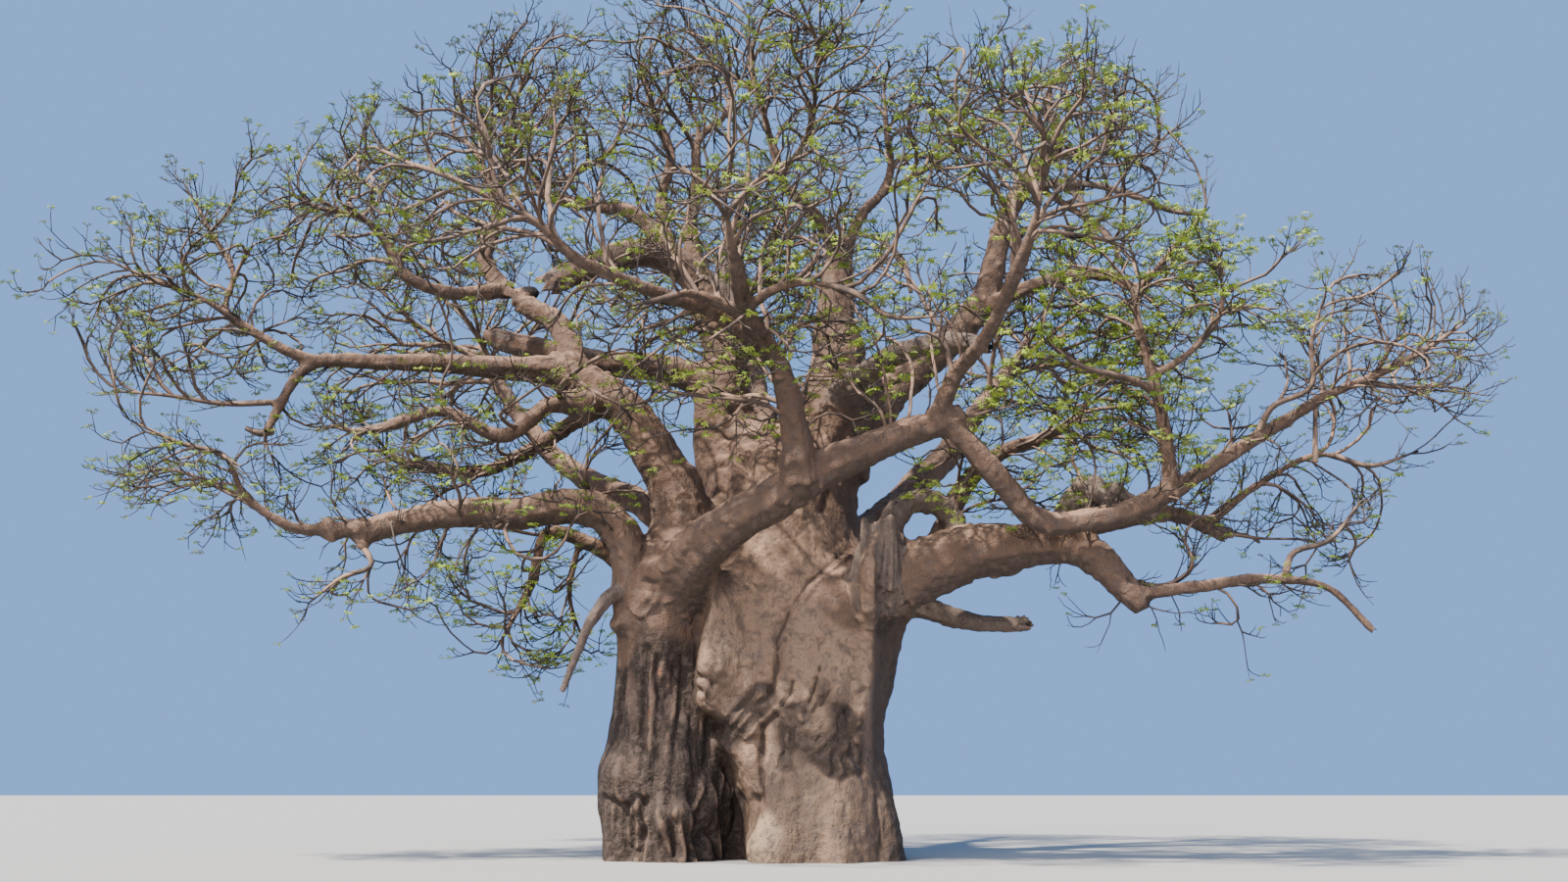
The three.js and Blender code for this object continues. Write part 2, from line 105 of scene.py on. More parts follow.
AT_GROUND = 0.001  # lower than this, an edge of the open rim lies on the ground
ROOT_DEPTH = 0.5  # how far the trunk runs below the ground before it is cut flat
END_DOME = 0.45  # a packed limb's end stands out by this share of its radius
# A foot half hidden in the trunk is slimmer than packed
OTHER_FLARES = {"bough_right_low": -0.25, "bough_right_middle": 0.0}

# Limbs whose free end is broken off, with a hollow in it
BROKEN_ENDS = [
    "bough_left_hollow", "bough_upper_left", "bough_left_reach", "bough_right_broken",
    "bough_right_low_tip", "dead_limb_left_hanging", "dead_limb_right_centre", "dead_stub_right",
]
# Limbs that end in another limb or bend, and so have no end of their own
BURIED_ENDS = [
    "bough_right_middle", "bough_front_diagonal", "bough_right_low", "bough_left_big", "bough_centre_left",
    "bough_centre_right", "bough_left_low",
]
# Splinters of the broken snag at the fork and of the stump on the left middle bough: foot, tip, and
# the radius at each
SPLINTERS = [
    ((2.55, -1.8, 5.9, 0.34), (2.47, -2.1, 7.55, 0.075)),
    ((2.75, -1.85, 5.9, 0.3), (2.66, -2.15, 7.15, 0.08)),
    ((2.4, -1.7, 5.9, 0.3), (2.33, -1.95, 6.85, 0.08)),
    ((3.0, -1.9, 5.9, 0.34), (2.98, -2.2, 7.5, 0.16)),
    ((2.8, -2.1, 6.9, 0.14), (2.76, -2.3, 6.25, 0.075)),
    ((3.2, -1.7, 5.8, 0.3), (3.3, -1.95, 6.9, 0.1)),
    ((-0.8, 1.4, 13.2, 0.3), (-0.75, 1.3, 14.9, 0.08)),
    ((-0.55, 1.2, 13.1, 0.24), (-0.4, 1.1, 14.3, 0.08)),
]
# Limbs whose course isn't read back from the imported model: the dead arch, which is buried at both
# ends, and the low left bough, which first rises beside the left stem. Place and radius
OWN_COURSES = {
    "dead_arch_right": [
        (2.95, -1.7, 6.0, 0.34), (2.98, -1.75, 7.0, 0.33), (3.2, -1.65, 7.65, 0.3), (3.7, -1.5, 7.97, 0.29),
        (4.2, -1.4, 7.92, 0.28), (4.52, -1.3, 7.5, 0.27), (4.62, -1.2, 6.8, 0.28),
    ],
    "bough_left_low": [
        (-2.6, -1.2, 4.7, 0.36), (-2.74, -1.42, 5.8, 0.41), (-2.8, -1.5, 6.5, 0.42),
        (-2.87, -1.5, 7.0, 0.43), (-3.15, -1.5, 7.48, 0.43), (-3.7, -1.5, 7.77, 0.41),
        (-4.4, -1.6, 7.85, 0.39), (-5.35, -1.71, 7.7, 0.36), (-6.3, -1.9, 7.65, 0.33),
        (-7.15, -2.05, 7.58, 0.31), (-8.0, -2.25, 7.38, 0.28), (-8.8, -2.5, 7.05, 0.26),
    ],
}
# Dead sticks and a gnarled piece on the broken bough: place and radius
DEAD_STICKS = [
    [(8.8, 1.55, 17.3, 0.1), (8.95, 1.7, 17.9, 0.1), (9.05, 1.75, 18.55, 0.085)],
    [(7.0, 2.3, 16.7, 0.14), (7.71, 1.5, 16.55, 0.12), (8.51, 1.2, 16.35, 0.11), (9.44, 1.0, 16.02, 0.1),
     (10.26, 0.8, 15.58, 0.08), (11.0, 0.6, 15.4, 0.04)],
    [(7.4, 1.7, 16.6, 0.11), (7.95, 1.5, 16.3, 0.11), (8.24, 1.2, 15.45, 0.1), (8.37, 1.0, 14.6, 0.05)],
    [(2.4, -0.5, 14.6, 0.08), (3.07, -1.5, 14.0, 0.08), (3.44, -1.6, 13.54, 0.08), (3.6, -1.7, 12.8, 0.05)],
    [(12.5, -2.4, 8.7, 0.07), (12.53, -2.4, 9.3, 0.06), (12.54, -2.5, 10.0, 0.05)],
    [(-10.77, -2.2, 9.45, 0.1), (-11.1, -2.2, 9.4, 0.09), (-11.4, -2.3, 9.5, 0.05)],
    [(6.9, -1.7, 7.4, 0.28), (7.2, -1.55, 7.85, 0.34), (7.6, -1.5, 8.15, 0.4), (8.1, -1.4, 8.1, 0.36),
     (8.6, -1.35, 7.85, 0.3), (9.1, -1.3, 7.6, 0.2)],
]
THINNEST_IN_SKIN = 0.07  # limbs with a smaller radius than this are branches
TAPER_LENGTH = 9.0  # how far a limb tapers on behind its packed end, in radii of that end
TAPER_STEPS = (0.35, 0.7, 1.0)
TAPER_RISE = 0.35  # how much it bends up
TAPER_RADIUS = 0.02
FINE_LIMB_END = 0.018
LEAST_SPLINTERED = 0.12  # radius of a broken end with splinters
SPLINTERS_PER_END = 6
SPLINTER_TURN = 0.4  # how far each strays round the rim, in radians
SPLINTER_LENGTH = (0.1, 1.3)  # the rest of a splinter's sizes, in radii of the broken end
SPLINTER_LEAN = (0.7, 1.15)
SPLINTER_BACK = 1.2
SPLINTER_OUT = 0.68
SPLINTER_FOOT = 0.42
SPLINTER_TIP = 0.16
LEAST_TIP = THINNEST_IN_SKIN * 1.1  # so that a splinter is in the skin up to its tip
SPLINTER_BULGE = 0.04  # how much thicker a splinter of the snag is halfway up
SIDE_FOOT = (0.8, 1.2)  # of a side limb at most, as shares of what carries it and of its own radius

# Finer limbs, as places and radii. These carry on from the end of a packed limb
GOING_ON = {
    "bough_far_left": [(-11.9, -2.2, 13.1, 0.08), (-12.5, -2.0, 14.1, 0.06), (-13.3, -1.8, 15.4, 0.04)],
    "bough_left_low_tip": [(-11.4, -3.4, 8.6, 0.07), (-12.4, -3.8, 8.9, 0.05), (-13.3, -4.2, 9.3, 0.035)],
    "bough_left_upper": [(-9.3, -1.1, 14.8, 0.08), (-10.2, -1.5, 14.9, 0.06), (-11.2, -1.8, 15.4, 0.04)],
    "bough_left_rise": [(-6.7, 0.8, 16.4, 0.12), (-7.2, 1.1, 17.4, 0.08), (-8.4, 1.5, 17.9, 0.05)],
    "bough_upper_left_back": [(-5.2, 3.6, 17.3, 0.1), (-3.9, 4.0, 18.4, 0.07), (-3.6, 4.2, 19.8, 0.045)],
    "bough_top_left": [(-0.9, 2.4, 18.6, 0.09), (-0.7, 2.6, 20.3, 0.05)],
    "bough_top_left_back": [(-2.8, 3.4, 19.2, 0.09), (-3.3, 3.6, 21.0, 0.05)],
    "bough_top_centre": [(0.2, 0.0, 17.6, 0.09), (-0.1, -0.2, 18.8, 0.06), (-0.2, -0.4, 20.1, 0.04)],
    "bough_top_right_centre": [(3.3, 1.8, 17.9, 0.08), (3.2, 1.6, 19.4, 0.045)],
    "bough_top_right": [(7.7, 2.4, 18.0, 0.15), (7.5, 2.4, 19.0, 0.11), (7.7, 2.6, 19.7, 0.08),
                        (8.2, 2.8, 20.4, 0.05)],
    "bough_top_right_side": [(9.8, -1.4, 14.0, 0.08), (10.6, -1.6, 14.9, 0.05)],
    "bough_right_rise": [(8.4, -3.6, 11.8, 0.08), (8.6, -3.2, 12.8, 0.045)],
    "bough_far_right": [(14.0, -2.4, 10.7, 0.1), (15.3, -2.3, 11.4, 0.07), (16.2, -2.2, 12.0, 0.04)],
    "bough_front_left": [(-4.2, -7.6, 12.6, 0.08), (-5.2, -8.0, 13.0, 0.045)],
}
# These leave another limb from its side
SIDE_LIMBS = [
    [(-12.5, -2.0, 14.1, 0.05), (-12.0, -2.4, 14.6, 0.045), (-11.7, -2.8, 15.2, 0.035)],
    [(-11.6, -2.5, 12.0, 0.08), (-12.3, -3.0, 12.3, 0.06), (-13.3, -3.6, 12.6, 0.045),
     (-14.3, -4.0, 13.0, 0.03)],
    [(-10.9, -2.3, 10.3, 0.07), (-11.9, -2.6, 10.0, 0.06), (-13.0, -3.0, 10.1, 0.045),
     (-14.0, -3.4, 10.1, 0.03)],
    [(-10.6, -2.9, 7.6, 0.07), (-11.6, -2.4, 8.0, 0.06), (-13.2, -2.0, 8.6, 0.045),
     (-14.4, -1.6, 8.5, 0.03)],
    [(-8.65, -2.7, 6.9, 0.07), (-8.35, -2.8, 6.32, 0.06), (-8.87, -2.9, 6.1, 0.055),
     (-9.57, -3.1, 5.5, 0.04)],
    [(-9.3, -1.1, 14.8, 0.07), (-9.0, -0.6, 15.5, 0.055), (-10.0, -0.2, 16.2, 0.04)],
    [(-6.2, 2.9, 16.6, 0.09), (-6.5, 2.8, 18.2, 0.07), (-6.9, 2.6, 19.4, 0.045)],
    [(0.6, 0.4, 16.2, 0.08), (1.3, -0.6, 17.2, 0.07), (1.5, -1.2, 18.7, 0.045)],
    [(3.0, 1.6, 16.4, 0.08), (4.6, 0.8, 16.9, 0.06), (5.4, 0.2, 17.3, 0.045)],
    [(7.5, 2.4, 17.5, 0.1), (8.7, 1.6, 17.4, 0.07), (9.6, 1.0, 17.0, 0.05)],
    [(7.6, 2.4, 18.6, 0.08), (6.7, 2.0, 19.0, 0.06), (5.8, 1.6, 19.1, 0.045)],
    [(7.3, 2.3, 16.6, 0.11), (8.3, 1.6, 15.6, 0.09), (8.8, 1.0, 14.8, 0.07), (9.0, 0.6, 13.9, 0.05)],
    [(8.9, -3.4, 10.0, 0.1), (8.2, -3.7, 10.3, 0.08), (7.0, -4.2, 10.5, 0.06), (6.2, -4.6, 11.0, 0.04)],
    [(8.8, -3.4, 10.4, 0.1), (9.6, -3.6, 11.0, 0.08), (10.2, -3.8, 11.8, 0.06), (10.2, -4.0, 12.8, 0.04)],
    [(11.2, -2.8, 9.3, 0.08), (11.4, -3.0, 9.8, 0.07), (12.2, -3.4, 10.2, 0.06),
     (12.2, -3.6, 11.1, 0.05), (12.5, -3.8, 12.2, 0.035)],
    [(13.6, -2.5, 10.6, 0.07), (14.8, -2.0, 10.5, 0.055), (16.0, -1.6, 10.7, 0.035)],
    [(10.4, -1.2, 7.5, 0.11), (11.7, -1.2, 8.5, 0.09), (13.1, -1.2, 9.1, 0.08), (14.0, -1.4, 8.8, 0.06),
     (15.1, -1.6, 9.1, 0.035)],
    [(11.6, -2.7, 6.1, 0.09), (11.8, -2.6, 6.6, 0.07), (12.6, -2.6, 6.9, 0.055), (13.4, -2.6, 7.8, 0.035)],
    [(8.0, -2.3, 6.0, 0.07), (9.2, -2.4, 6.0, 0.055), (9.6, -2.6, 6.3, 0.05), (9.3, -2.7, 7.2, 0.035)],
    [(-0.4, -5.4, 11.3, 0.13), (-1.3, -6.0, 11.6, 0.1), (-1.8, -6.6, 11.3, 0.07),
     (-2.5, -7.2, 11.0, 0.045)],
    [(-0.3, -5.6, 11.4, 0.12), (0.7, -5.9, 11.8, 0.1), (2.1, -6.4, 11.5, 0.07),
     (2.8, -6.8, 10.9, 0.055), (3.8, -7.2, 10.8, 0.035)],
    [(-5.3, 0.2, 6.4, 0.09), (-5.6, -0.2, 5.4, 0.06), (-5.9, -0.6, 4.7, 0.035)],
    [(-4.3, 0.2, 7.0, 0.08), (-4.4, 0.6, 6.0, 0.06), (-4.1, 1.0, 5.0, 0.035)],
]

# Twigs
TARGETS_PER_CUBIC_METRE = 6.2
TARGET_DEPTH = 0.3  # how far inside a mass the targets lie
GROWTH_STEP = 0.34
GROWTH_ROUNDS = 80
PULL_REACH = 3.2  # how far away a target can pull at a twig
TARGET_SPACING = 0.5  # a target is reached when a twig comes this near
MOST_CHILDREN = 2
MOST_PAIRS = 4000000  # of targets and joints that are compared at once
# What a growing twig follows besides its targets: its own course, up, out of the crown, and chance
KEEP_COURSE = 1.1
TWIG_RISE = 0.12
OUTWARD = 0.35
TWIG_STRAY = 0.15
STEP_VARIES = (0.75, 1.2)
GAP_SIZE = 1.7  # of the openings in the crown
GAP_LEVEL = -0.5  # level of the noise below which there is an opening
GAP_LAYER = 60
CROWN_MIDDLE = np.array([0.0, 0.0, 8.0])
OVERSHOOT = 0.5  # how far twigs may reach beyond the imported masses
STEEPEST_FALL = -0.5  # of a twig's direction, higher up than the hanging growth
HANGING_BELOW = 7.6  # height under which twigs may hang down
TIP_RADIUS = 0.0105
PIPE_EXPONENT = 2.6
# Shoots along a branch and at its end, and the upturned twigs on them: length, by how much that varies,
# how far they lean aside, joints, and how much they bend up from joint to joint
SHOOTS = (0.95, (0.55, 1.3), (0.4, 1.2), 4, 0.2)
TWIGLETS = (0.42, (0.5, 1.3), (0.7, 1.4), 3, 0.38)
SHOOTS_AT_END = (2, 3)  # the fewest and the most
SHOOT_SHARE = 0.45  # of the joints of a branch that bear a shoot
TWIGLET_SHARE = 0.62  # of the joints of a shoot that bear a twig
SPRAY_STRAY = 0.13
TIP_SLIMMING = 0.6
LOAD_PER_JOINT = 0.06  # what a joint weighs against a free end
FOOT_WIDENING = 1.25  # of a twig where it leaves another
WIDEST_FOOT = 0.9  # as a share of the radius that it leaves from
THINNEST_BRANCH = 0.026  # thinner than this it is a twig
SIDES_BY_RADIUS = [(0.06, 8), (0.03, 6), (0.018, 4), (0.0, 3)]

# For each mass: how densely it is filled with twigs, which share of its twigs bears leaves, their
# size, and how fresh their green is
MASSES = {
    "foliage_far_left": (1.15, 0.6, 0.8, -0.1),
    "foliage_left_upper": (1.15, 0.45, 0.8, 0.0),
    "foliage_left_low": (1.15, 0.65, 0.8, 0.0),
    "foliage_left_inner": (1.0, 0.45, 0.85, 0.05),
    "foliage_hanging_left": (0.8, 0.65, 0.95, 0.1),
    "foliage_top_left": (0.75, 0.22, 0.75, -0.1),
    "foliage_top_centre_left": (0.95, 0.28, 0.75, -0.1),
    "foliage_top_centre": (1.35, 0.38, 0.8, 0.0),
    "foliage_top_right_centre": (0.9, 0.28, 0.75, -0.05),
    "foliage_top_right": (0.85, 0.2, 0.75, -0.1),
    "foliage_right": (1.3, 0.8, 1.05, 0.3),
    "foliage_far_right": (1.15, 0.4, 0.7, -0.15),
    "foliage_right_low": (0.75, 0.3, 0.8, 0.0),
    "foliage_right_inner": (0.8, 0.5, 0.9, 0.15),
    "foliage_front_left": (0.6, 0.35, 0.9, 0.1),
    "foliage_front_centre": (0.6, 0.35, 0.95, 0.2),
    "foliage_front_right": (0.6, 0.45, 1.0, 0.2),
    "foliage_back_left": (0.55, 0.3, 0.8, 0.0),
    "foliage_back_centre": (0.85, 0.35, 0.8, 0.0),
    "foliage_back_right": (0.55, 0.3, 0.8, 0.0),
}
# Thin growth among the limbs: middle, size and density
THICKETS = [
    ((-6.5, -2.0, 8.6), (9.0, 5.0, 4.4), 0.35),
    ((-6.6, -1.8, 6.2), (6.0, 2.4, 1.8), 0.6),
    ((-5.0, -0.3, 5.6), (3.6, 3.0, 3.0), 0.6),
    ((0.0, -3.5, 11.6), (9.0, 6.0, 5.6), 0.4),
    ((7.5, -2.2, 8.6), (8.0, 5.0, 4.0), 0.35),
    ((9.4, -2.6, 5.6), (5.0, 1.8, 1.4), 0.5),
]

# Leaves
LEAFLET_LENGTH = 0.105
LEAFLET_WIDTH = 0.041
LEAFLETS = 5
LEAVES_PER_TUFT = 6
LEAF_STALK = 0.085
LEAF_SPREAD = math.radians(105)  # of the outermost leaflets from the middle one
# How leaves differ: turn round the twig, rise and length of the stalk, droop and tilt of the leaf,
# length of the leaflets, and size from tuft to tuft
LEAF_TURN = (-0.4, 0.4)
STALK_RISE = (-0.1, 1.0)
STALK_VARIES = (0.5, 1.4)
LEAF_DROOP = (0.0, 0.7)
LEAF_TILT = 0.4
LEAFLET_VARIES = (0.75, 1.2)
TUFT_VARIES = (0.7, 1.25)
OUTER_SHORTER = 0.3  # the outermost leaflets, than the middle one
LEAF_CUP = 0.15
WIDEST_AT = 0.6  # of a leaflet's length
LEAFLET_RISE = 0.5  # of a leaflet's edges, as a share of half its width
LEAFY_LEVEL = 1.05  # factor on a mass's share of leaves, before the waves
TUFT_TURN = (0, 6)  # radians
TINT_RANGE = 0.7
TINT_STEPS = [0.25, 0.5, 0.8]
LEAF_TINTS = {
    "leaves_olive": (0.15, 0.165, 0.045),
    "leaves_green": (0.16, 0.23, 0.03),
    "leaves_fresh": (0.24, 0.33, 0.035),
    "leaves_light": (0.34, 0.42, 0.06),
}
THICKEST_WITH_TWIGS = 0.36  # limbs thicker than this bear no twigs
THICKEST_WITH_SHOOTS = 0.07  # and thicker than this no shoots
BARE_RINGS = 4  # rings at a limb's foot without twigs
RINGS_IN_SKIN = 3  # rings of a thin limb that lie within the bark's skin
MOST_TRIANGLES = 180000  # in one piece

# Colours, as plain linear values
BARK_TAN = (0.315, 0.197, 0.124)
BARK_BROWN = (0.235, 0.145, 0.093)
BARK_LILAC = (0.195, 0.137, 0.104)
BARK_STAIN = (0.1, 0.07, 0.056)
# Painted highlight: lighter paint on surfaces that face up and on raised edges, where the sun falls
BARK_PAINTED_HIGHLIGHT = (0.4, 0.245, 0.16)
# Darker brown of the boughs, the left stem and the trunk high up: partly their own tone, partly painted
# shade under the crown
BOUGH_BROWN_AND_SHADE = (0.092, 0.053, 0.036)
# Painted shade on surfaces that face down, on the bark and on the branches and twigs
PAINTED_UNDERSIDE_SHADE = (0.042, 0.033, 0.028)
BARK_PINK = (0.135, 0.082, 0.062)
# Dark grey bark of the left stem, the foot and the torn bark; on the left stem its darkness is also painted
# shade, and over the main stem's right side it is painted shade only
GREY_BARK_AND_SHADE = (0.026, 0.02, 0.016)
BARK_PALE = (0.4, 0.275, 0.175)
# Painted shade in sunk places and narrow grooves
PAINTED_CREASE_SHADE = (0.05, 0.034, 0.027)
DEAD_GREY = (0.13, 0.1, 0.082)
SCAR_ORANGE = (0.28, 0.1, 0.05)
# Painted shade deep in the hollows of broken ends
HOLLOW_PAINTED_SHADE = (0.012, 0.01, 0.009)
BRANCH_LIGHT = (0.28, 0.175, 0.12)
BRANCH_DARK = (0.08, 0.056, 0.044)
TWIG_LIGHT = (0.1, 0.074, 0.058)
TWIG_DARK = (0.032, 0.025, 0.021)
# Patterns of the bark: scale, detail, stretch along each axis and distortion
BARK_PATTERNS = {
    "blotches": (0.7, 5, (1, 1, 1), 0.6),
    "spots": (1.9, 6, (1, 1, 1), 0.8),
    "streaks": (2.6, 6, (1, 1, 0.16), 0),
    "grain": (5.5, 8, (1, 1, 1), 0.5),
    "upright": (7, 5, (1, 1, 0.22), 0.4),
    "fine": (24, 6, (1, 1, 1), 0),
}
# The colours that lie over the tan, each over the one before: what the colour goes by, which is a
# pattern or one of the wood's values, where that starts and ends, and how strongly the colour covers
BARK_LAYERS = [
    (BARK_BROWN, "blotches", 0.35, 0.7, 1.0),
    (BARK_LILAC, "spots", 0.48, 0.7, 0.45),
    (BARK_STAIN, "streaks", 0.52, 0.7, 0.55),
    # darker brown of boughs, left stem and high trunk, partly painted shade
    (BOUGH_BROWN_AND_SHADE, "bough", 0.0, 1.0, 0.82),
    # painted highlight on surfaces that face up
    (BARK_PAINTED_HIGHLIGHT, "upward", 0.25, 0.95, 0.55),
    # painted shade on surfaces that face down
    (PAINTED_UNDERSIDE_SHADE, "upward", -0.12, -0.75, 0.8),
    # grey bark, also painted shade on the left stem
    (GREY_BARK_AND_SHADE, "grey", 0.1, 0.9, 0.9),
    # painted shade on the main stem's right side
    (GREY_BARK_AND_SHADE, "side", 0.0, 1.0, 0.75),
    (BARK_PINK, "pink", 0.1, 0.9, 0.45),
    (BARK_PALE, "pale", 0.2, 0.9, 0.9),
    (DEAD_GREY, "dead", 0.1, 0.9, 0.8),
    # painted highlight on raised edges
    (BARK_PAINTED_HIGHLIGHT, "edge", 0.0, 1.0, 0.28),
    (BARK_STAIN, "grain", 0.52, 0.36, 0.62),
    # painted shade in sunk places and narrow grooves
    (PAINTED_CREASE_SHADE, "crease", 0.0, 1.0, 0.85),
    (SCAR_ORANGE, "scar", 0.3, 0.9, 0.8),
    # painted shade in the hollows of broken ends
    (HOLLOW_PAINTED_SHADE, "hollow", 0.1, 0.8, 1.0),
    (BARK_STAIN, "fine", 0.47, 0.33, 0.5),
]
BARK_BUMPS = [("grain", 0.95, 0.085), ("upright", 0.85, 0.055), ("fine", 0.9, 0.03)]  # strength and depth
BARK_ROUGHNESS = 0.88
BRANCH_ROUGHNESS = 0.85
LEAF_ROUGHNESS = 0.7
FLOOR_ROUGHNESS = 0.95
SPECULAR_LEVEL = 0.2
# Orange scars on the left stem: place and radius
SCARS = [
    ((-2.15, -2.0, 4.15), 0.15), ((-1.5, -1.95, 4.2), 0.07), ((-1.66, -1.95, 3.75), 0.08),
    ((-1.8, -1.95, 3.25), 0.06), ((-2.3, -1.9, 3.2), 0.05),
]
SCAR_SHAPE = (1, 1, 3.2)
SCAR_CORE = 0.4  # of a scar's radius
PALE_ROOT = np.array([0.15, -2.4, 0.2])
PALE_SHAPE = (1, 1, 1.4)
PALE_REACH = (0.3, 0.75)
# Where the other colours of the wood lie. A pair is where something starts and where it is full, and
# for a top or a reach, where it starts to fade and where it ends
COLOUR_BLEND = 0.2  # how softly the left stem's colours end at the seam
LEFT_GREY_LOSS = 0.35  # of the left stem's grey, higher up
LEFT_GREY_HEIGHTS = (4.0, 5.2)
FOOT_GREY = 0.45
FOOT_GREY_TOP = (0.8, 4.2)
TORN_GREY = 0.8
TORN_GREY_REACH = (0.25, 0.45)  # from the middle of the torn band
CRUMPLED_GREY = 0.85
GREY_TOP = (6.4, 7.4)
PINK_PATCHES = (0.0, 0.5)
# Heights over which the trunk turns to the boughs' darker brown, which is partly painted shade
BOUGH_BROWN_AND_SHADE_HEIGHTS = (7.5, 10.5)  # heights
# Painted shade on the main stem's right side, which faces away from the sun: x where it starts and is full,
# how far the surface faces right, and the height where it fades and ends
SHADED_SIDE_ACROSS = (2.5, 2.75)
SHADED_SIDE_FACING = (0.3, 0.8)
SHADED_SIDE_TOP = (6.0, 6.8)
# Painted shade where the bark is sunk and in narrow grooves, and painted highlight where it stands out: the
# levels where each starts and is full, and the grooves' share of that shade
CREASE_SHADE_DEPTH = (0.006, 0.04)
EDGE_HIGHLIGHT_RISE = (0.008, 0.04)
GROOVE_SHADE_LEVELS = (0.25, 0.95)
GROOVE_SHADE_SHARE = 0.8
DEAD_REACH = (0.12, 0.25)  # gap to a dead limb's surface where its grey starts to fade, and ends
LIMB_REACH = 0.3  # wood further than this from a limb's surface belongs to the trunk
# Branches and twigs: scale and detail of their dark patches, the levels at which these start and are
# full, and the same for the shade on their undersides, with its strength
BRANCH_PATCHES = (2.2, 3)
BRANCH_PATCH_LEVELS = (0.4, 0.65)
BRANCH_SHADE = (0.1, -0.6, 0.8)

# Light and floor
# Name, direction that the light comes from, strength, apparent size and colour: a high sun, and a wide
# soft light from the front
LIGHTS = [
    ("sun", (-0.5, -0.5, 1.0), 13.0, math.radians(2), (1.0, 0.95, 0.88)),
    ("front", (-0.4, -1.0, 0.5), 2.4, math.radians(45), (1.0, 0.97, 0.93)),
]
SKY_COLOUR = (0.265, 0.505, 1.04)
SKY_STRENGTH = 0.98
FLOOR_SIZE = 400
FLOOR_COLOUR = (0.34, 0.325, 0.3)

# Waves that the bark's relief and colours and the leaves' shares, sizes and tints follow, in layers on
# top of each other: size along each axis, height and the layer's number
WAVES = {
    "girth": [(0.8, 0.07, 4)],
    "limb_lumps": [(1.0, 0.09, 1), (0.45, 0.05, 2)],
    "limb_folds": [((0.55, 0.55, 1.0), 0.1, 3)],
    "limb_grain": [(0.15, 0.014, 7), (0.3, 0.012, 27)],
    "wrinkles": [((0.17, 0.4, 0.4), 1.0, 5)],
    "split_wood": [((0.3, 0.3, 0.8), 0.05, 9)],
    "leaning": [((1.4, 1.4, 5.0), 0.1, 12), ((0.5, 0.5, 2.2), 0.032, 13), ((0.22, 0.22, 0.6), 0.025, 16)],
    "trunk_grain": [(0.17, 0.016, 18)],
    "trunk_wrinkles": [((0.7, 0.7, 0.15), 0.014, 26)],
    "ropes": [(0.2, 0.018, 22)],
    "columns": [((0.9, 0.9, 2.6), 0.22, 10)],
    "column_tops": [(0.8, 0.4, 30)],
    "toes": [((0.6, 0.6, 1.4), 0.3, 24)],
    "ledge": [(0.42, 0.75, 25)],
    "crumpled": [(0.7, 0.9, 21)],
    "creases": [(0.25, 1.0, 20)],
    "greys": [(1.2, 0.5, 80)],
    "pale_root": [(0.5, 0.2, 81)],
    "scars": [((0.2, 0.2, 0.5), 0.07, 82)],
    "pink": [((0.3, 0.3, 2.0), 1.0, 83)],
    "leafy": [(1.6, 0.35, 70)],
    "leaf_size": [(1.8, 0.15, 72)],
    "leaf_tint": [(2.5, 0.3, 71)],
}
# Folds with sharp creases between them: size, height, number, and the level that stays where it is
FOLDS = {
    "split_wood": ((0.16, 0.16, 1.6), 0.13, 8, 0.5),
    "deep": ((0.9, 0.9, 5.0), 0.1, 29, 0.45),
    "fine": ((0.24, 0.24, 2.6), 0.08, 11, 0.45),
    "upright": ((0.8, 0.8, 6.0), 0.2, 28, 0.4),
    "roots": ((0.9, 0.9, 4.5), 0.14, 14, 0.4),
    "crumpled": ((0.3, 0.3, 0.34), 0.16, 23, 0.55),
}
# Knobs: size, height, number, and the level of the noise at which a knob begins
KNOBS = {"limb": (0.32, 0.13, 6, 0.45), "trunk": (0.3, 0.035, 19, 0.5)}
KNOB_RISE = 0.3
WIDEST_RELIEF = 0.45  # radius from which a limb's relief grows no more
FOLD_TWIST = 0.45  # how fast a limb's long folds change along it
WRINKLE_TURN = 0.3
WRINKLES_AT_BEND = 0.25
WRINKLE_HEIGHT = (0.015, 0.08)
# Rounded columns side by side: width, height, sharpness, and the level that stays where it is
COLUMNS = (0.56, 0.13, 0.6, 0.7)  # the upright folds of the left stem
TOES = (0.48, 0.3, 0.7, 0.85)  # below the ledge at its foot
LEDGE_HEIGHT = 1.15
LEDGE_FACE = (-0.25, 0.1)  # from the ledge's height: where the toes are full, and where they end
LIP = (0.2, 0.22, 0.1)  # of the ledge: how far above its height, reach and rise
TOES_LEFT_END = (-2.7, -2.2)  # x from which the toes grow from half to full
COLUMN_TOPS = (3.7, 4.9)  # height from which the columns fade, and at which the least is left
LEAST_COLUMNS = 0.15
ROUND_THE_SIDE = 0.6  # how much the columns go by depth as well, away from the front
RELIEF_BLEND = 0.25  # how softly the left stem's relief ends at the seam
SEAM_OVERLAP = 0.05
FRONT = (-1.0, 0.2)  # y at which the front's own relief is full, and at which it ends
LEAN = 0.35  # of the main stem's long waves
ROOT_FOLDS = (0.4, 3.2)  # heights between which the folds of the main stem's roots fade
UPRIGHT_FOLDS = (6.5, 8.0)  # and between which its upright folds grow
TRUNK_KNOBS = (3.0, 4.5)  # and its knobs grow
FRONT_SMOOTHER = 0.5  # how much smaller its wrinkles are on the front
# The hollow in a broken end, in radii of that end
END_REACH = (0.35, 1.5)  # of what changes, behind the end and beside its middle
END_HOLLOW = (0.8, 1.3)  # how wide and how deep
END_HOLLOW_CURVE = 0.7
RIM_HEIGHT = 0.5
RIM_WAVES = 0.7
RIM_LAYER = 21
RIM_WIDTH = (0.5, 0.9)
HOLLOW_SHADE_DEPTH = (0.15, 0.6)  # where the painted shade in the hollow starts, and where it is full

# Smooth noise

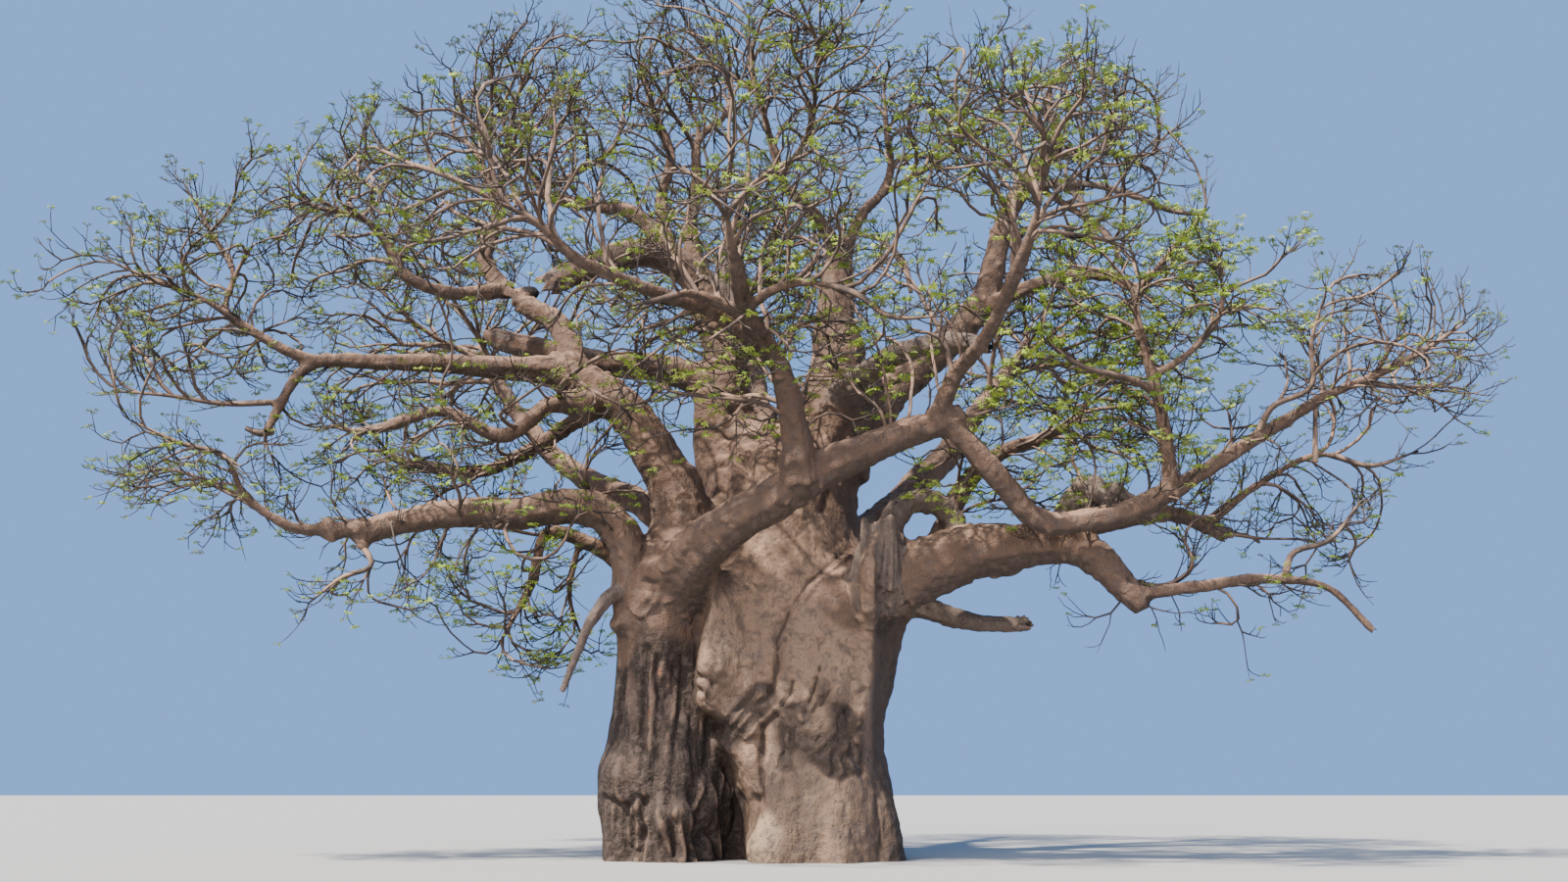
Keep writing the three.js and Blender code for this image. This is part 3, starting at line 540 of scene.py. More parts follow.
NOISE_TABLE = 256
LAYER_SHIFT = 17.31  # in waves, from one layer of the noise to the next
NOISE_GAIN = 1.7
FOLD_SHARPNESS = 0.7
noise_draw = np.random.default_rng(SEED)
SHUFFLE = noise_draw.permutation(NOISE_TABLE)
SLOPES = noise_draw.normal(size=(NOISE_TABLE, 3))
SLOPES /= np.linalg.norm(SLOPES, axis=1, keepdims=True)


def noise(points, size, layer=0):
    """Smooth noise from about -1 to 1. Its waves are about size metres long, or size per axis."""
    place = points / np.asarray(size, float) + layer * LAYER_SHIFT
    cell = np.floor(place).astype(int)
    inside = place - cell
    fade = inside**3 * (inside * (inside * 6 - 15) + 10)
    total = np.zeros(len(points))
    for corner in itertools.product((0, 1), repeat=3):
        index = np.zeros(len(points), int)
        for axis in range(3):
            index = SHUFFLE[(index + cell[:, axis] + corner[axis]) % NOISE_TABLE]
        slope = (SLOPES[index] * (inside - corner)).sum(1)
        weight = np.prod(np.where(corner, fade, 1 - fade), axis=1)
        total += slope * weight
    return total * NOISE_GAIN


def folds(points, size, layer=0):
    """Round folds with sharp creases between them, from 0 in a crease to about 1."""
    return np.abs(noise(points, size, layer)) ** FOLD_SHARPNESS


def waves(points, kind):
    return sum(height * noise(points, size, layer) for size, height, layer in WAVES[kind])


def fold_relief(points, kind):
    size, height, layer, level = FOLDS[kind]
    return height * (folds(points, size, layer) - level)


def columns(across, width, height, sharpness, level):
    return height * (np.abs(np.sin(across * math.pi / width)) ** sharpness - level)


def knobs(points, kind):
    size, height, layer, level = KNOBS[kind]
    return height * ease(noise(points, size, layer), level, level + KNOB_RISE)


def unit(vectors):
    length = np.linalg.norm(vectors, axis=-1, keepdims=True)
    return vectors / np.maximum(length, 1e-9)


def ease(value, low, high):
    """0 up to low, 1 from high on, and a smooth rise between."""
    share = np.clip((value - low) / (high - low), 0, 1)
    return share * share * (3 - 2 * share)


def zone(value, low, full, fade, high):
    """0 up to low, 1 from full to fade, and 0 again from high on."""
    return ease(value, low, full) * (1 - ease(value, fade, high))


def bell(value, middle, width):
    """1 at the middle, and less and less on both sides of it."""
    return np.exp(-(((value - middle) / width) ** 2))


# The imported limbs, read back as lines with a radius at each point


def arrays_of(mesh):
    """A mesh's corners, and the corner numbers of all its faces in one row."""
    corners = np.empty(len(mesh.vertices) * 3)
    mesh.vertices.foreach_get("co", corners)
    loops = np.empty(len(mesh.loops), int)
    mesh.loops.foreach_get("vertex_index", loops)
    return corners.reshape(-1, 3), loops


def packed_surface(node):
    """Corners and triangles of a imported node, with corners in the same place merged."""
    corners, loops = arrays_of(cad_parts[node].data)
    cells = np.round(corners / MERGE_SIZE).astype(int)
    _, first, index = np.unique(cells, axis=0, return_index=True, return_inverse=True)
    return corners[first], index.ravel()[loops].reshape(-1, 3)


def neighbours(count, faces):
    near = [set() for _ in range(count)]
    for one, two, three in faces:
        near[one] |= {two, three}
        near[two] |= {one, three}
        near[three] |= {one, two}
    return near


def ring_of(points, members):
    """Middle, mean radius and unevenness of a ring of points."""
    ring = points[list(members)]
    middle = ring.mean(0)
    radii = np.linalg.norm(ring - middle, axis=1)
    return middle, radii.mean(), radii.std() / radii.mean()


def limb_knots(node):
    """Middle and radius of each ring of a packed limb, from its foot to its end, as rows of x, y, z and
    radius. The end is the one corner that stands in front of an even ring of 6 or 8 corners. Ring by
    ring the walk goes back from it, up to where the limb was cut to sit on what carries it."""
    points, faces = packed_surface(node)
    near = neighbours(len(points), faces)
    best = (math.inf, 0)
    for number, around in enumerate(near):
        if len(around) in PACKED_SIDES:
            middle, radius, uneven = ring_of(points, around)
            rise = np.linalg.norm(points[number] - middle) / radius
            best = min(best, (abs(rise - END_DOME) + uneven, number))
    end = best[1]
    sides = len(near[end])
    knots = []
    seen = {end}
    front = set(near[end])
    while front:
        middle, radius, uneven = ring_of(points, front)
        if len(front) != sides or uneven > MOST_UNEVEN:
            break
        knots.append([*middle, radius])
        seen |= front
        front = set().union(*(near[member] for member in front)) - seen
    foot = points[list(front)].mean(0)
    last = np.array(knots[-1])
    growth = (knots[-1][3] - knots[-2][3]) / np.linalg.norm(last[:3] - np.array(knots[-2][:3]))
    foot_radius = last[3] + growth * np.linalg.norm(foot - last[:3])
    into = unit(foot - last[:3])
    knots.append([*foot, foot_radius])
    knots.append([*(foot + into * foot_radius * SUNK_FOOT), foot_radius])
    return np.array(knots[::-1])


def smooth_line(knots, step):
    """Points about one step apart on a smooth curve through the knots, which are rows of numbers whose
    first three are a place."""
    gaps = np.linalg.norm(np.diff(knots[:, :3], axis=0), axis=1)
    reach = np.concatenate(([0], np.cumsum(gaps)))
    slopes = np.gradient(knots, reach, axis=0)
    at = np.linspace(0, reach[-1], max(4, round(reach[-1] / step) + 1))
    piece = np.clip(np.searchsorted(reach, at, side="right") - 1, 0, len(gaps) - 1)
    span = gaps[piece][:, None]
    share = ((at - reach[piece]) / gaps[piece])[:, None]
    curve = (
        knots[piece] * (2 * share**3 - 3 * share**2 + 1)
        + slopes[piece] * span * (share**3 - 2 * share**2 + share)
        + knots[piece + 1] * (3 * share**2 - 2 * share**3)
        + slopes[piece + 1] * span * (share**3 - share**2)
    )
    return curve, at


def side_ways(ways):
    """For each direction along a line, a direction across it that turns as little as it can."""
    across = unit(np.cross(ways[0], ANY_WAY))
    found = []
    for way in ways:
        across = unit(across - way * across.dot(way))
        found.append(across)
    return np.array(found)


def circles(across, third, sides):
    """The directions to the corners of a ring, for each pair of ways across a line."""
    angle = (np.arange(sides) * 2 * math.pi / sides)[None, :, None]
    return across[:, None] * np.cos(angle) + third[:, None] * np.sin(angle)


class Limb:
    """One limb as a line: place, radius, distance from the foot, direction and two ways across.
    Its thick part belongs to the bark's skin, and its thin part is a branch."""

    def __init__(self, name, knots, flare=FOOT_FLARE):
        self.name = name
        curve, self.at = smooth_line(knots, TUBE_STEP)
        self.place = curve[:, :3]
        self.radius = np.maximum(curve[:, 3], TAPER_RADIUS)
        held = ease(self.at, 0, STEADY_FOOT) * ease(self.at[-1] - self.at, 0, STEADY_END)
        for axis in range(3):
            stray = noise(self.place, WANDER_LENGTH, WANDER_LAYER + axis) * WANDER
            self.place[:, axis] += stray * np.minimum(self.radius, WIDEST_WANDER) * held
        foot = self.radius[0]
        self.radius = self.radius * (1 + flare * np.exp(-self.at / (FLARE_LENGTH * foot)))
        self.way = unit(np.gradient(self.place, axis=0))
        self.across = side_ways(self.way)
        self.third = np.cross(self.way, self.across)
        self.bend = np.linalg.norm(np.gradient(self.way, axis=0), axis=1) / TUBE_STEP
        self.thick = int((self.radius > THINNEST_IN_SKIN).sum())

    def tube(self, most_rings=math.inf):
        """A closed tube round the thick part."""
        rings = min(self.thick, most_rings)
        ring = circles(self.across[:rings], self.third[:rings], TUBE_SIDES)
        radius = self.radius[:rings, None, None]
        uneven = waves((self.place[:rings, None] + ring * radius).reshape(-1, 3), "girth")
        swell = 1 + uneven.reshape(rings, TUBE_SIDES, 1)
        points = self.place[:rings, None] + ring * radius * swell
        dome = self.way[rings - 1] * self.radius[rings - 1] * END_DOME
        ends = [self.place[0], self.place[rings - 1] + dome]
        faces = []
        last = (rings - 1) * TUBE_SIDES
        for side in range(TUBE_SIDES):
            following = (side + 1) % TUBE_SIDES
            for low in range(0, last, TUBE_SIDES):
                high = low + TUBE_SIDES
                faces.append((low + side, low + following, high + following, high + side))
            faces.append((rings * TUBE_SIDES, following, side))
            faces.append((last + side, last + following, rings * TUBE_SIDES + 1))
        return np.vstack([points.reshape(-1, 3), ends]), faces


def going_on(knots):
    """A packed limb's knots with a tapering end added, which bends up a little."""
    end = knots[-1]
    way = unit(end[:3] - knots[-2][:3])
    length = TAPER_LENGTH * end[3]
    more = []
    for share in TAPER_STEPS:
        place = end[:3] + length * share * unit(way + UP * TAPER_RISE * share)
        more.append([*place, end[3] + (TAPER_RADIUS - end[3]) * share])
    return np.vstack([knots, more])


def ending_thin(knots):
    knots[-1, 3] = FINE_LIMB_END
    return knots


def splinters_of(limb, draw):
    """Knots of the ragged splinters round a broken end."""
    rim = limb.radius[-1]
    place = limb.place[-1]
    foot_radius = rim * SPLINTER_FOOT
    tip_radius = max(rim * SPLINTER_TIP, LEAST_TIP)
    splinters = []
    for angle in np.linspace(0, 2 * math.pi, SPLINTERS_PER_END, endpoint=False):
        angle += draw.uniform(-SPLINTER_TURN, SPLINTER_TURN)
        aside = limb.across[-1] * math.cos(angle) + limb.third[-1] * math.sin(angle)
        out = aside * rim * SPLINTER_OUT
        foot = place - limb.way[-1] * rim * SPLINTER_BACK + out
        tip = limb.way[-1] * rim * draw.uniform(*SPLINTER_LENGTH) + out * draw.uniform(*SPLINTER_LEAN)
        tip = place + tip
        middle = (foot + tip) / 2
        splinters.append([[*foot, foot_radius], [*middle, foot_radius], [*tip, tip_radius]])
    return splinters


def nearest_on(limbs, place):
    """The place on any of the limbs' lines that is nearest to this one, and the radius there."""
    best = (math.inf, None, None)
    for limb in limbs:
        gap = np.linalg.norm(limb.place - place, axis=1)
        number = gap.argmin()
        best = min(best, (gap[number], tuple(limb.place[number]), limb.radius[number]))
    return best[1], best[2]


def read_limbs():
    """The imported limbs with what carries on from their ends, then the finer limbs at their sides."""
    names = [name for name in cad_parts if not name.startswith(("foliage", "trunk"))]
    limbs = []
    for name in sorted(names):
        if name in OWN_COURSES:
            limbs.append(Limb(name, np.array(OWN_COURSES[name]), 0))
            continue
        knots = limb_knots(name)
        if name in GOING_ON:
            knots = ending_thin(np.vstack([knots, GOING_ON[name]]))
        elif name not in BROKEN_ENDS + BURIED_ENDS:
            knots = going_on(knots)
        limbs.append(Limb(name, knots, OTHER_FLARES.get(name, FOOT_FLARE)))
    splinters = []
    for foot, tip in SPLINTERS:
        middle = (np.array(foot) + tip) / 2 + [0, 0, 0, SPLINTER_BULGE]
        splinters.append([foot, middle, tip])
    draw = np.random.default_rng(SEED + 3)
    for limb in limbs:
        if limb.name in BROKEN_ENDS and limb.radius[-1] > LEAST_SPLINTERED:
            splinters += splinters_of(limb, draw)
    for number, knots in enumerate(splinters):
        limbs.append(Limb(f"splinter_{number}", np.array(knots), 0))
    for number, knots in enumerate(DEAD_STICKS):
        limbs.append(Limb(f"dead_stick_{number}", np.array(knots), 0))
    for number, knots in enumerate(SIDE_LIMBS):
        foot, radius = nearest_on(limbs, np.array(knots[0][:3]))
        start = [*foot, min(radius * SIDE_FOOT[0], knots[0][3] * SIDE_FOOT[1])]
        limbs.append(Limb(f"side_{number}", ending_thin(np.array([start, *knots[1:]]))))
    return limbs


# The bark's mesh: trunk and limbs grown together, then given their relief


def joined(shapes):
    """Several shapes, each as points and faces, as one."""
    points = []
    faces = []
    offset = 0
    for more_points, more_faces in shapes:
        points.append(more_points)
        faces += [tuple(number + offset for number in face) for face in more_faces]
        offset += len(more_points)
    return np.vstack(points), faces


def trunk_surface(limbs):
    """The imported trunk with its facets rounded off, run on below the ground. The feet of the limbs
    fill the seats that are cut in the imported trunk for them."""
    points, faces = packed_surface("trunk")
    points = points.copy()
    low = points[:, 2] < ROOT_DEPTH
    points[low, 2] = points[low, 2] * 2 - ROOT_DEPTH
    feet = [limb.tube(FOOT_RINGS) for limb in limbs if limb.radius[0] > LEAST_FOOT]
    points, faces = joined([(points, faces.tolist()), *feet])
    points, quads = remeshed(points, faces, TRUNK_VOXEL)
    return shaped_trunk(relaxed(points, edges_of(quads), TRUNK_ROUNDING, TRUNK_SMOOTHING)), quads


# Where the main stem's edge stands out over the left stem, from the ground up: height, x of the edge,
# and how far it stands out
SEAM = np.array([
    (0.1, -0.1, 0.3), (1.33, -0.09, 0.3), (1.6, -0.31, 0.3), (1.95, -0.37, 0.35), (2.2, -0.55, 0.4),
    (2.45, -0.78, 0.45), (2.6, -0.82, 0.45), (2.9, -0.66, 0.5), (3.1, -0.85, 0.65), (3.3, -1.15, 0.75),
    (3.5, -1.2, 0.8), (4.0, -1.18, 0.85), (4.8, -1.12, 0.85), (5.4, -1.04, 0.8), (6.1, -0.94, 0.6),
    (6.5, -0.64, 0.35), (6.95, -0.17, 0.0),
])
# Where the main stem's front turns to its right side: height and x
CORNER = np.array([(0.0, 2.5), (3.0, 2.5), (3.8, 2.55), (5.1, 2.6), (6.0, 2.57), (6.8, 2.52)])
RIDGE_WIDTH = 0.22
RIDGE_HEIGHT = 0.34
SIDE_DEPTH = 0.3  # how far the side beyond the corner falls back
SIDE_START = (0.3, 1.6)  # from the ridge, in its widths: where that starts, and where it is full
EDGE_START = (-0.15, 0.15)  # x from the edge at which it starts to stand out, and at which it does fully
EDGE_WIDTH = 0.25
EDGE_FADE = 0.6
HOLLOW_DEPTH = 0.22
HOLLOW_TOP = (5.5, 6.5)
FOOT_SPREAD = 0.4
SPREAD_TOP = (0.2, 4.5)  # the spread grows less between these heights
SPREAD_START = (-0.2, 0.4)  # x from the edge
PLATEAU = ((2.0, 6.0), (0.5, 0.6))  # below the snag: x and height of its middle, and its size
PLATEAU_HEIGHT = 0.16
WAIST = (2.6, 1.1)  # on the right: height of its middle, and its reach
WAIST_DEPTH = 0.25
WAIST_ACROSS = (1.8, 3.0)  # x from which it deepens, and at which it is full
TRUNK_FRONT = (-0.7, 0.2)  # y at which the front is full, and at which it ends
# Zones along one axis: where each begins, is full, starts to fade and ends
HOLLOW_BESIDE_EDGE = (-1.0, -0.4, -0.15, 0.05)
CORNER_HEIGHTS = (1.5, 3.5, 6.4, 7.2)
UPPER_TRUNK_FRONT = (-2.2, -1.8)
UPPER_TRUNK_ACROSS = (-2.2, -1.5, 2.4, 3.0)
UPPER_TRUNK_HEIGHTS = (6.6, 7.3, 11.0, 12.5)
CRUMPLED_ACROSS = (0.3, 0.7, 2.3, 2.6)
CRUMPLED_HEIGHTS = (1.7, 2.4, 2.9, 3.6)
PINK_HEIGHTS = (1.4, 2.6, 3.2, 4.8)


def shaped_trunk(points):
    """The main stem's left edge stands out over a hollow beside it, its right corner is a ridge, and
    its front spreads towards the ground."""
    x, y, height = points.T
    past = x - np.interp(height, SEAM[:, 0], SEAM[:, 1])
    edge = ease(past, *EDGE_START) * bell(np.maximum(past, EDGE_WIDTH), EDGE_WIDTH, EDGE_FADE)
    hollow = zone(past, *HOLLOW_BESIDE_EDGE) * (1 - ease(height, *HOLLOW_TOP))
    corner = x - np.interp(height, CORNER[:, 0], CORNER[:, 1])
    upright = zone(height, *CORNER_HEIGHTS)
    spread = (1 - ease(height, *SPREAD_TOP)) * ease(past, *SPREAD_START)
    (middle, level), (wide, tall) = PLATEAU
    forward = np.interp(height, SEAM[:, 0], SEAM[:, 2]) * edge - HOLLOW_DEPTH * hollow
    forward += RIDGE_HEIGHT * bell(corner, 0, RIDGE_WIDTH) * upright
    forward -= SIDE_DEPTH * ease(corner / RIDGE_WIDTH, *SIDE_START) * upright
    forward += FOOT_SPREAD * spread + PLATEAU_HEIGHT * bell(x, middle, wide) * bell(height, level, tall)
    shaped = points.copy()
    shaped[:, 1] -= forward * (1 - ease(y, *TRUNK_FRONT))
    shaped[:, 0] -= WAIST_DEPTH * bell(height, *WAIST) * ease(x, *WAIST_ACROSS)
    return shaped


def remeshed(points, faces, voxel):
    """The outer surface of one or more closed shapes that overlap, in even four-sided cells."""
    mesh = bpy.data.meshes.new("shape")
    mesh.from_pydata([tuple(p) for p in points], [], faces)
    shape = bpy.data.objects.new("shape", mesh)
    bpy.context.scene.collection.objects.link(shape)
    modifier = shape.modifiers.new("remesh", "REMESH")
    modifier.mode = "VOXEL"
    modifier.voxel_size = voxel
    changed = shape.evaluated_get(bpy.context.evaluated_depsgraph_get())
    result = bpy.data.meshes.new_from_object(changed)
    corners, loops = arrays_of(result)
    bpy.data.objects.remove(shape)
    bpy.data.meshes.remove(mesh)
    bpy.data.meshes.remove(result)
    return corners, loops.reshape(-1, 4)


def edges_of(quads):
    pairs = np.vstack([quads[:, [side, (side + 1) % 4]] for side in range(4)])
    return np.unique(np.sort(pairs, axis=1), axis=0)


def summed(numbers, values, count):
    """For each of count numbers, the sum of the rows of values that belong to it."""
    return np.column_stack([np.bincount(numbers, column, count) for column in values.T])


def relaxed(points, edges, rounds, share):
    """Each point moved towards the middle of its neighbours, round after round."""
    one, other = edges.T
    count = np.bincount(edges.ravel(), minlength=len(points))[:, None]
    for _ in range(rounds):
        total = summed(one, points[other], len(points)) + summed(other, points[one], len(points))
        points = points + share * (total / count - points)
    return points


def normals_of(points, quads):
    one, two, three, four = (points[corner] for corner in quads.T)
    facing = np.cross(three - one, four - two)
    return unit(sum(summed(corner, facing, len(points)) for corner in quads.T))


class NearestLimb:
    """For each point of the wood, the limb whose surface is nearest, and where the point lies on it."""

    MARGIN = 0.7  # points further than this from a limb's surface don't belong to it
    MOST_AT_ONCE = 40000
    ON_LIMB = (1.25, 1.7)  # distance from its middle line, in radii, up to which a point is on a limb

    def __init__(self, limbs, points):
        count = len(points)
        self.gap = np.full(count, math.inf)
        self.off = np.full(count, math.inf)
        self.radius = np.full(count, 0.5)
        self.at = np.zeros(count)
        self.bend = np.zeros(count)
        self.angle = np.zeros(count)
        self.limb = np.full(count, -1)
        for number, limb in enumerate(limbs):
            reach = limb.radius.max() + self.MARGIN
            low = limb.place.min(0) - reach
            high = limb.place.max(0) + reach
            near = np.flatnonzero(((points > low) & (points < high)).all(1))
            for some in np.array_split(near, len(near) // self.MOST_AT_ONCE + 1):
                self.measure(number, limb, points, some)
        self.share = 1 - ease(self.off / self.radius, *self.ON_LIMB)  # 1 on a limb, 0 on the trunk

    def measure(self, number, limb, points, some):
        spots = points[some]
        square = (spots**2).sum(1)[:, None] - 2 * spots @ limb.place.T + (limb.place**2).sum(1)
        near = (np.sqrt(np.maximum(square, 0)) - limb.radius).argmin(1)
        offset = spots - limb.place[near]
        along = (offset * limb.way[near]).sum(1)
        out = offset - along[:, None] * limb.way[near]
        off = np.linalg.norm(out, axis=1)
        past = np.maximum(np.abs(along) - TUBE_STEP, 0)
        gap = np.hypot(off, past) - limb.radius[near]
        angle = np.arctan2((out * limb.third[near]).sum(1), (out * limb.across[near]).sum(1))
        closer = gap < self.gap[some]
        chosen = some[closer]
        self.gap[chosen] = gap[closer]
        self.off[chosen] = np.hypot(off, past)[closer]
        self.radius[chosen] = limb.radius[near[closer]]
        self.bend[chosen] = limb.bend[near[closer]]
        self.at[chosen] = limb.at[near[closer]] + along[closer]
        self.angle[chosen] = angle[closer]
        self.limb[chosen] = number


def upper_trunk(points):
    """1 on the column above the slanting front bough, where the trunk parts into limbs, and 0 elsewhere."""
    x, y, height = points.T
    return zone(x, *UPPER_TRUNK_ACROSS) * ease(y, *UPPER_TRUNK_FRONT) * zone(height, *UPPER_TRUNK_HEIGHTS)


def limb_relief(points, near):
    """How far the bark of the limbs stands out: lumps, long folds, and wrinkles where a limb bends."""
    girth = np.minimum(near.radius, WIDEST_RELIEF)
    turn = np.column_stack([np.cos(near.angle), np.sin(near.angle)])
    long_folds = waves(np.column_stack([turn, near.at * FOLD_TWIST]), "limb_folds")
    rings = np.column_stack([near.at, turn * WRINKLE_TURN])
    wrinkles = waves(rings, "wrinkles") * np.clip(near.bend * WRINKLES_AT_BEND, *WRINKLE_HEIGHT)
    lumps = waves(points, "limb_lumps") + knobs(points, "limb")
    return girth * (lumps + long_folds + wrinkles) + waves(points, "limb_grain")


def splinter_relief(points):
    """Split wood, with upright fibres."""
    return fold_relief(points, "split_wood") + waves(points, "split_wood")


def toes(points):
    """The foot of the left stem: uneven rounded toes below a ragged ledge."""
    x, _, height = points.T
    top = LEDGE_HEIGHT + waves(points * [1, 1, 0], "ledge")
    below = 1 - ease(height - top, *LEDGE_FACE)
    above, reach, rise = LIP
    lip = rise * bell(height, top + above, reach)
    middle = 0.5 + 0.5 * ease(x, *TOES_LEFT_END)
    return middle * (below * columns(x + waves(points, "toes"), *TOES) + lip)


def left_share(points, softness):
    """1 on the left stem, 0 on the main stem, and a soft change at the seam between them."""
    seam = np.interp(points[:, 2], SEAM[:, 0], SEAM[:, 1])
    return 1 - ease(points[:, 0] - seam, -softness, SEAM_OVERLAP)


def trunk_relief(points):
    """How far the bark of the trunk stands out: deep upright folds on the left stem, long slanting
    waves and fine wrinkles on the main stem, and torn bark low on its front."""
    x, y, height = points.T
    front = 1 - ease(y, *FRONT)
    left = left_share(points, RELIEF_BLEND)
    strayed = x + ROUND_THE_SIDE * y * (1 - front) + waves(points, "columns")
    left_folds = columns(strayed, *COLUMNS) + fold_relief(points, "deep") + fold_relief(points, "fine")
    below_tops = 1 - ease(height + waves(points, "column_tops"), *COLUMN_TOPS)
    left_folds *= LEAST_COLUMNS + (1 - LEAST_COLUMNS) * below_tops
    leaning = points.copy()
    leaning[:, 0] -= LEAN * height
    main_folds = waves(leaning, "leaning") + waves(points, "trunk_grain") + torn_bark(points, front)
    main_folds += fold_relief(points, "roots") * (1 - ease(height, *ROOT_FOLDS))
    main_folds += fold_relief(points, "upright") * ease(height, *UPRIGHT_FOLDS)
    main_folds += waves(points, "trunk_wrinkles") * (1 - front * FRONT_SMOOTHER)
    main_folds += knobs(points, "trunk") * ease(height, *TRUNK_KNOBS)
    return left * (left_folds + toes(points) * front) + (1 - left) * main_folds


def rope_lines():
    """Lines of the ropes of torn bark, side by side between the band's edges and strayed a little."""
    draw = np.random.default_rng(SEED + 4)
    left, right = np.array(TORN_LEFT_EDGE), np.array(TORN_RIGHT_EDGE)
    lines = []
    for share in np.linspace(0, 1, ROPES):
        lines.append(left + (right - left) * share + draw.normal(size=left.shape) * ROPE_STRAY)
    return lines


def torn_bark(points, front):
    """Ropes of torn bark in a slanting band from the main stem's face down to the seam, and crumpled
    bark to the right of its lower end."""
    rise = np.zeros(len(points))
    gap = distance_to_line(points * FLAT, np.array(TORN_RIGHT_EDGE) * FLAT)
    some = np.flatnonzero((gap < TORN_REACH) & (front > 0))
    for line in rope_lines():
        gap = distance_to_line(points[some] * FLAT, line * FLAT) + waves(points[some], "ropes")
        rise[some] = np.maximum(rise[some], bell(gap, 0, ROPE_WIDTH))
    return front * (ROPE_HEIGHT * rise + crumpled_share(points) * fold_relief(points, "crumpled"))


def crumpled_share(points):
    """1 on the crumpled bark low on the main stem's front, 0 elsewhere, with a ragged edge."""
    ragged = points[:, 2] + waves(points, "crumpled")
    return zone(ragged, *CRUMPLED_HEIGHTS) * zone(points[:, 0], *CRUMPLED_ACROSS)


BUMP_SHAPE = (1, 0.5, 1)  # depth counts half in the distance to a bump's middle
# Bumps on the trunk and limbs: place, radius and height
BUMPS = [
    ((-0.85, -1.9, 4.3), 0.42, 0.16),  # the bulge of the main stem over the seam
    ((-2.9, -1.5, 5.2), 0.22, 0.3),  # knob at the left edge
    ((-2.25, -2.1, 6.3), 0.26, 0.16),  # crook over the left stem
    ((-2.3, -2.1, 5.75), 0.2, 0.14),
    ((-3.05, -1.6, 1.9), 0.5, 0.22),  # root lobe at the left edge
    ((0.45, -1.9, 5.7), 0.1, 0.08),
    ((0.56, -2.0, 5.3), 0.1, 0.08),
    ((0.5, -2.1, 4.75), 0.11, 0.09),
    ((-0.05, -2.0, 4.35), 0.09, 0.08),
    ((1.45, -2.1, 4.9), 0.08, 0.06),
    ((2.5, -2.2, 5.45), 0.1, 0.08),
    ((2.55, -2.2, 5.05), 0.09, 0.07),
    ((-3.95, -1.35, 10.2), 0.36, 0.26),  # knot on the big left bough
    ((-9.25, -2.6, 7.0), 0.2, 0.15),  # burl at the bend of the low left bough
    ((-8.7, -2.75, 7.25), 0.17, 0.14),
    ((-9.0, -2.9, 6.8), 0.16, 0.14),
    ((-9.35, -2.6, 7.3), 0.14, 0.12),
    ((-8.55, -2.5, 6.85), 0.14, 0.12),
    ((0.9, -4.3, 8.45), 0.22, 0.14),  # knot under the rising front bough
    ((0.15, -2.2, 0.25), 0.45, 0.3),  # pale root at the foot
    ((0.0, -2.7, 0.55), 0.16, 0.09),
    ((0.3, -2.7, 0.3), 0.14, 0.1),
    ((-0.02, -2.7, 0.15), 0.12, 0.07),
    ((-1.7, -2.2, 0.9), 0.3, 0.1),
    ((7.35, -1.95, 8.4), 0.17, 0.16),  # knots of the gnarled dead piece
    ((7.75, -1.9, 8.65), 0.15, 0.18),
    ((8.3, -1.8, 8.35), 0.16, 0.15),
    ((7.95, -1.9, 7.95), 0.14, 0.12),
    ((8.8, -1.7, 8.0), 0.14, 0.12),
    ((7.1, -2.0, 7.85), 0.14, 0.12),
]
# The band of torn bark, from the main stem's face down to the seam and along it
TORN_LEFT_EDGE = [(-0.05, -2.3, 3.8), (-0.4, -2.3, 3.35), (-0.85, -2.3, 2.85)]
TORN_RIGHT_EDGE = [(0.5, -2.3, 3.35), (0.1, -2.3, 2.95), (-0.5, -2.3, 2.4)]
ROPES = 4
ROPE_WIDTH = 0.055
ROPE_HEIGHT = 0.14
ROPE_STRAY = 0.035
TORN_REACH = 1.0  # no rope lies further than this from the band's right edge
FLAT = np.array([1.0, 0.12, 1.0])  # depth counts less in the distance to a line drawn on the bark
WIDEST_SHADED_CREASE = 0.12  # narrower ones also get painted shade; wider ones only shape the bark
CREASE_STRAY = 0.55  # how ragged a crease is, as a share of its width
MOST_STRAY = 0.05
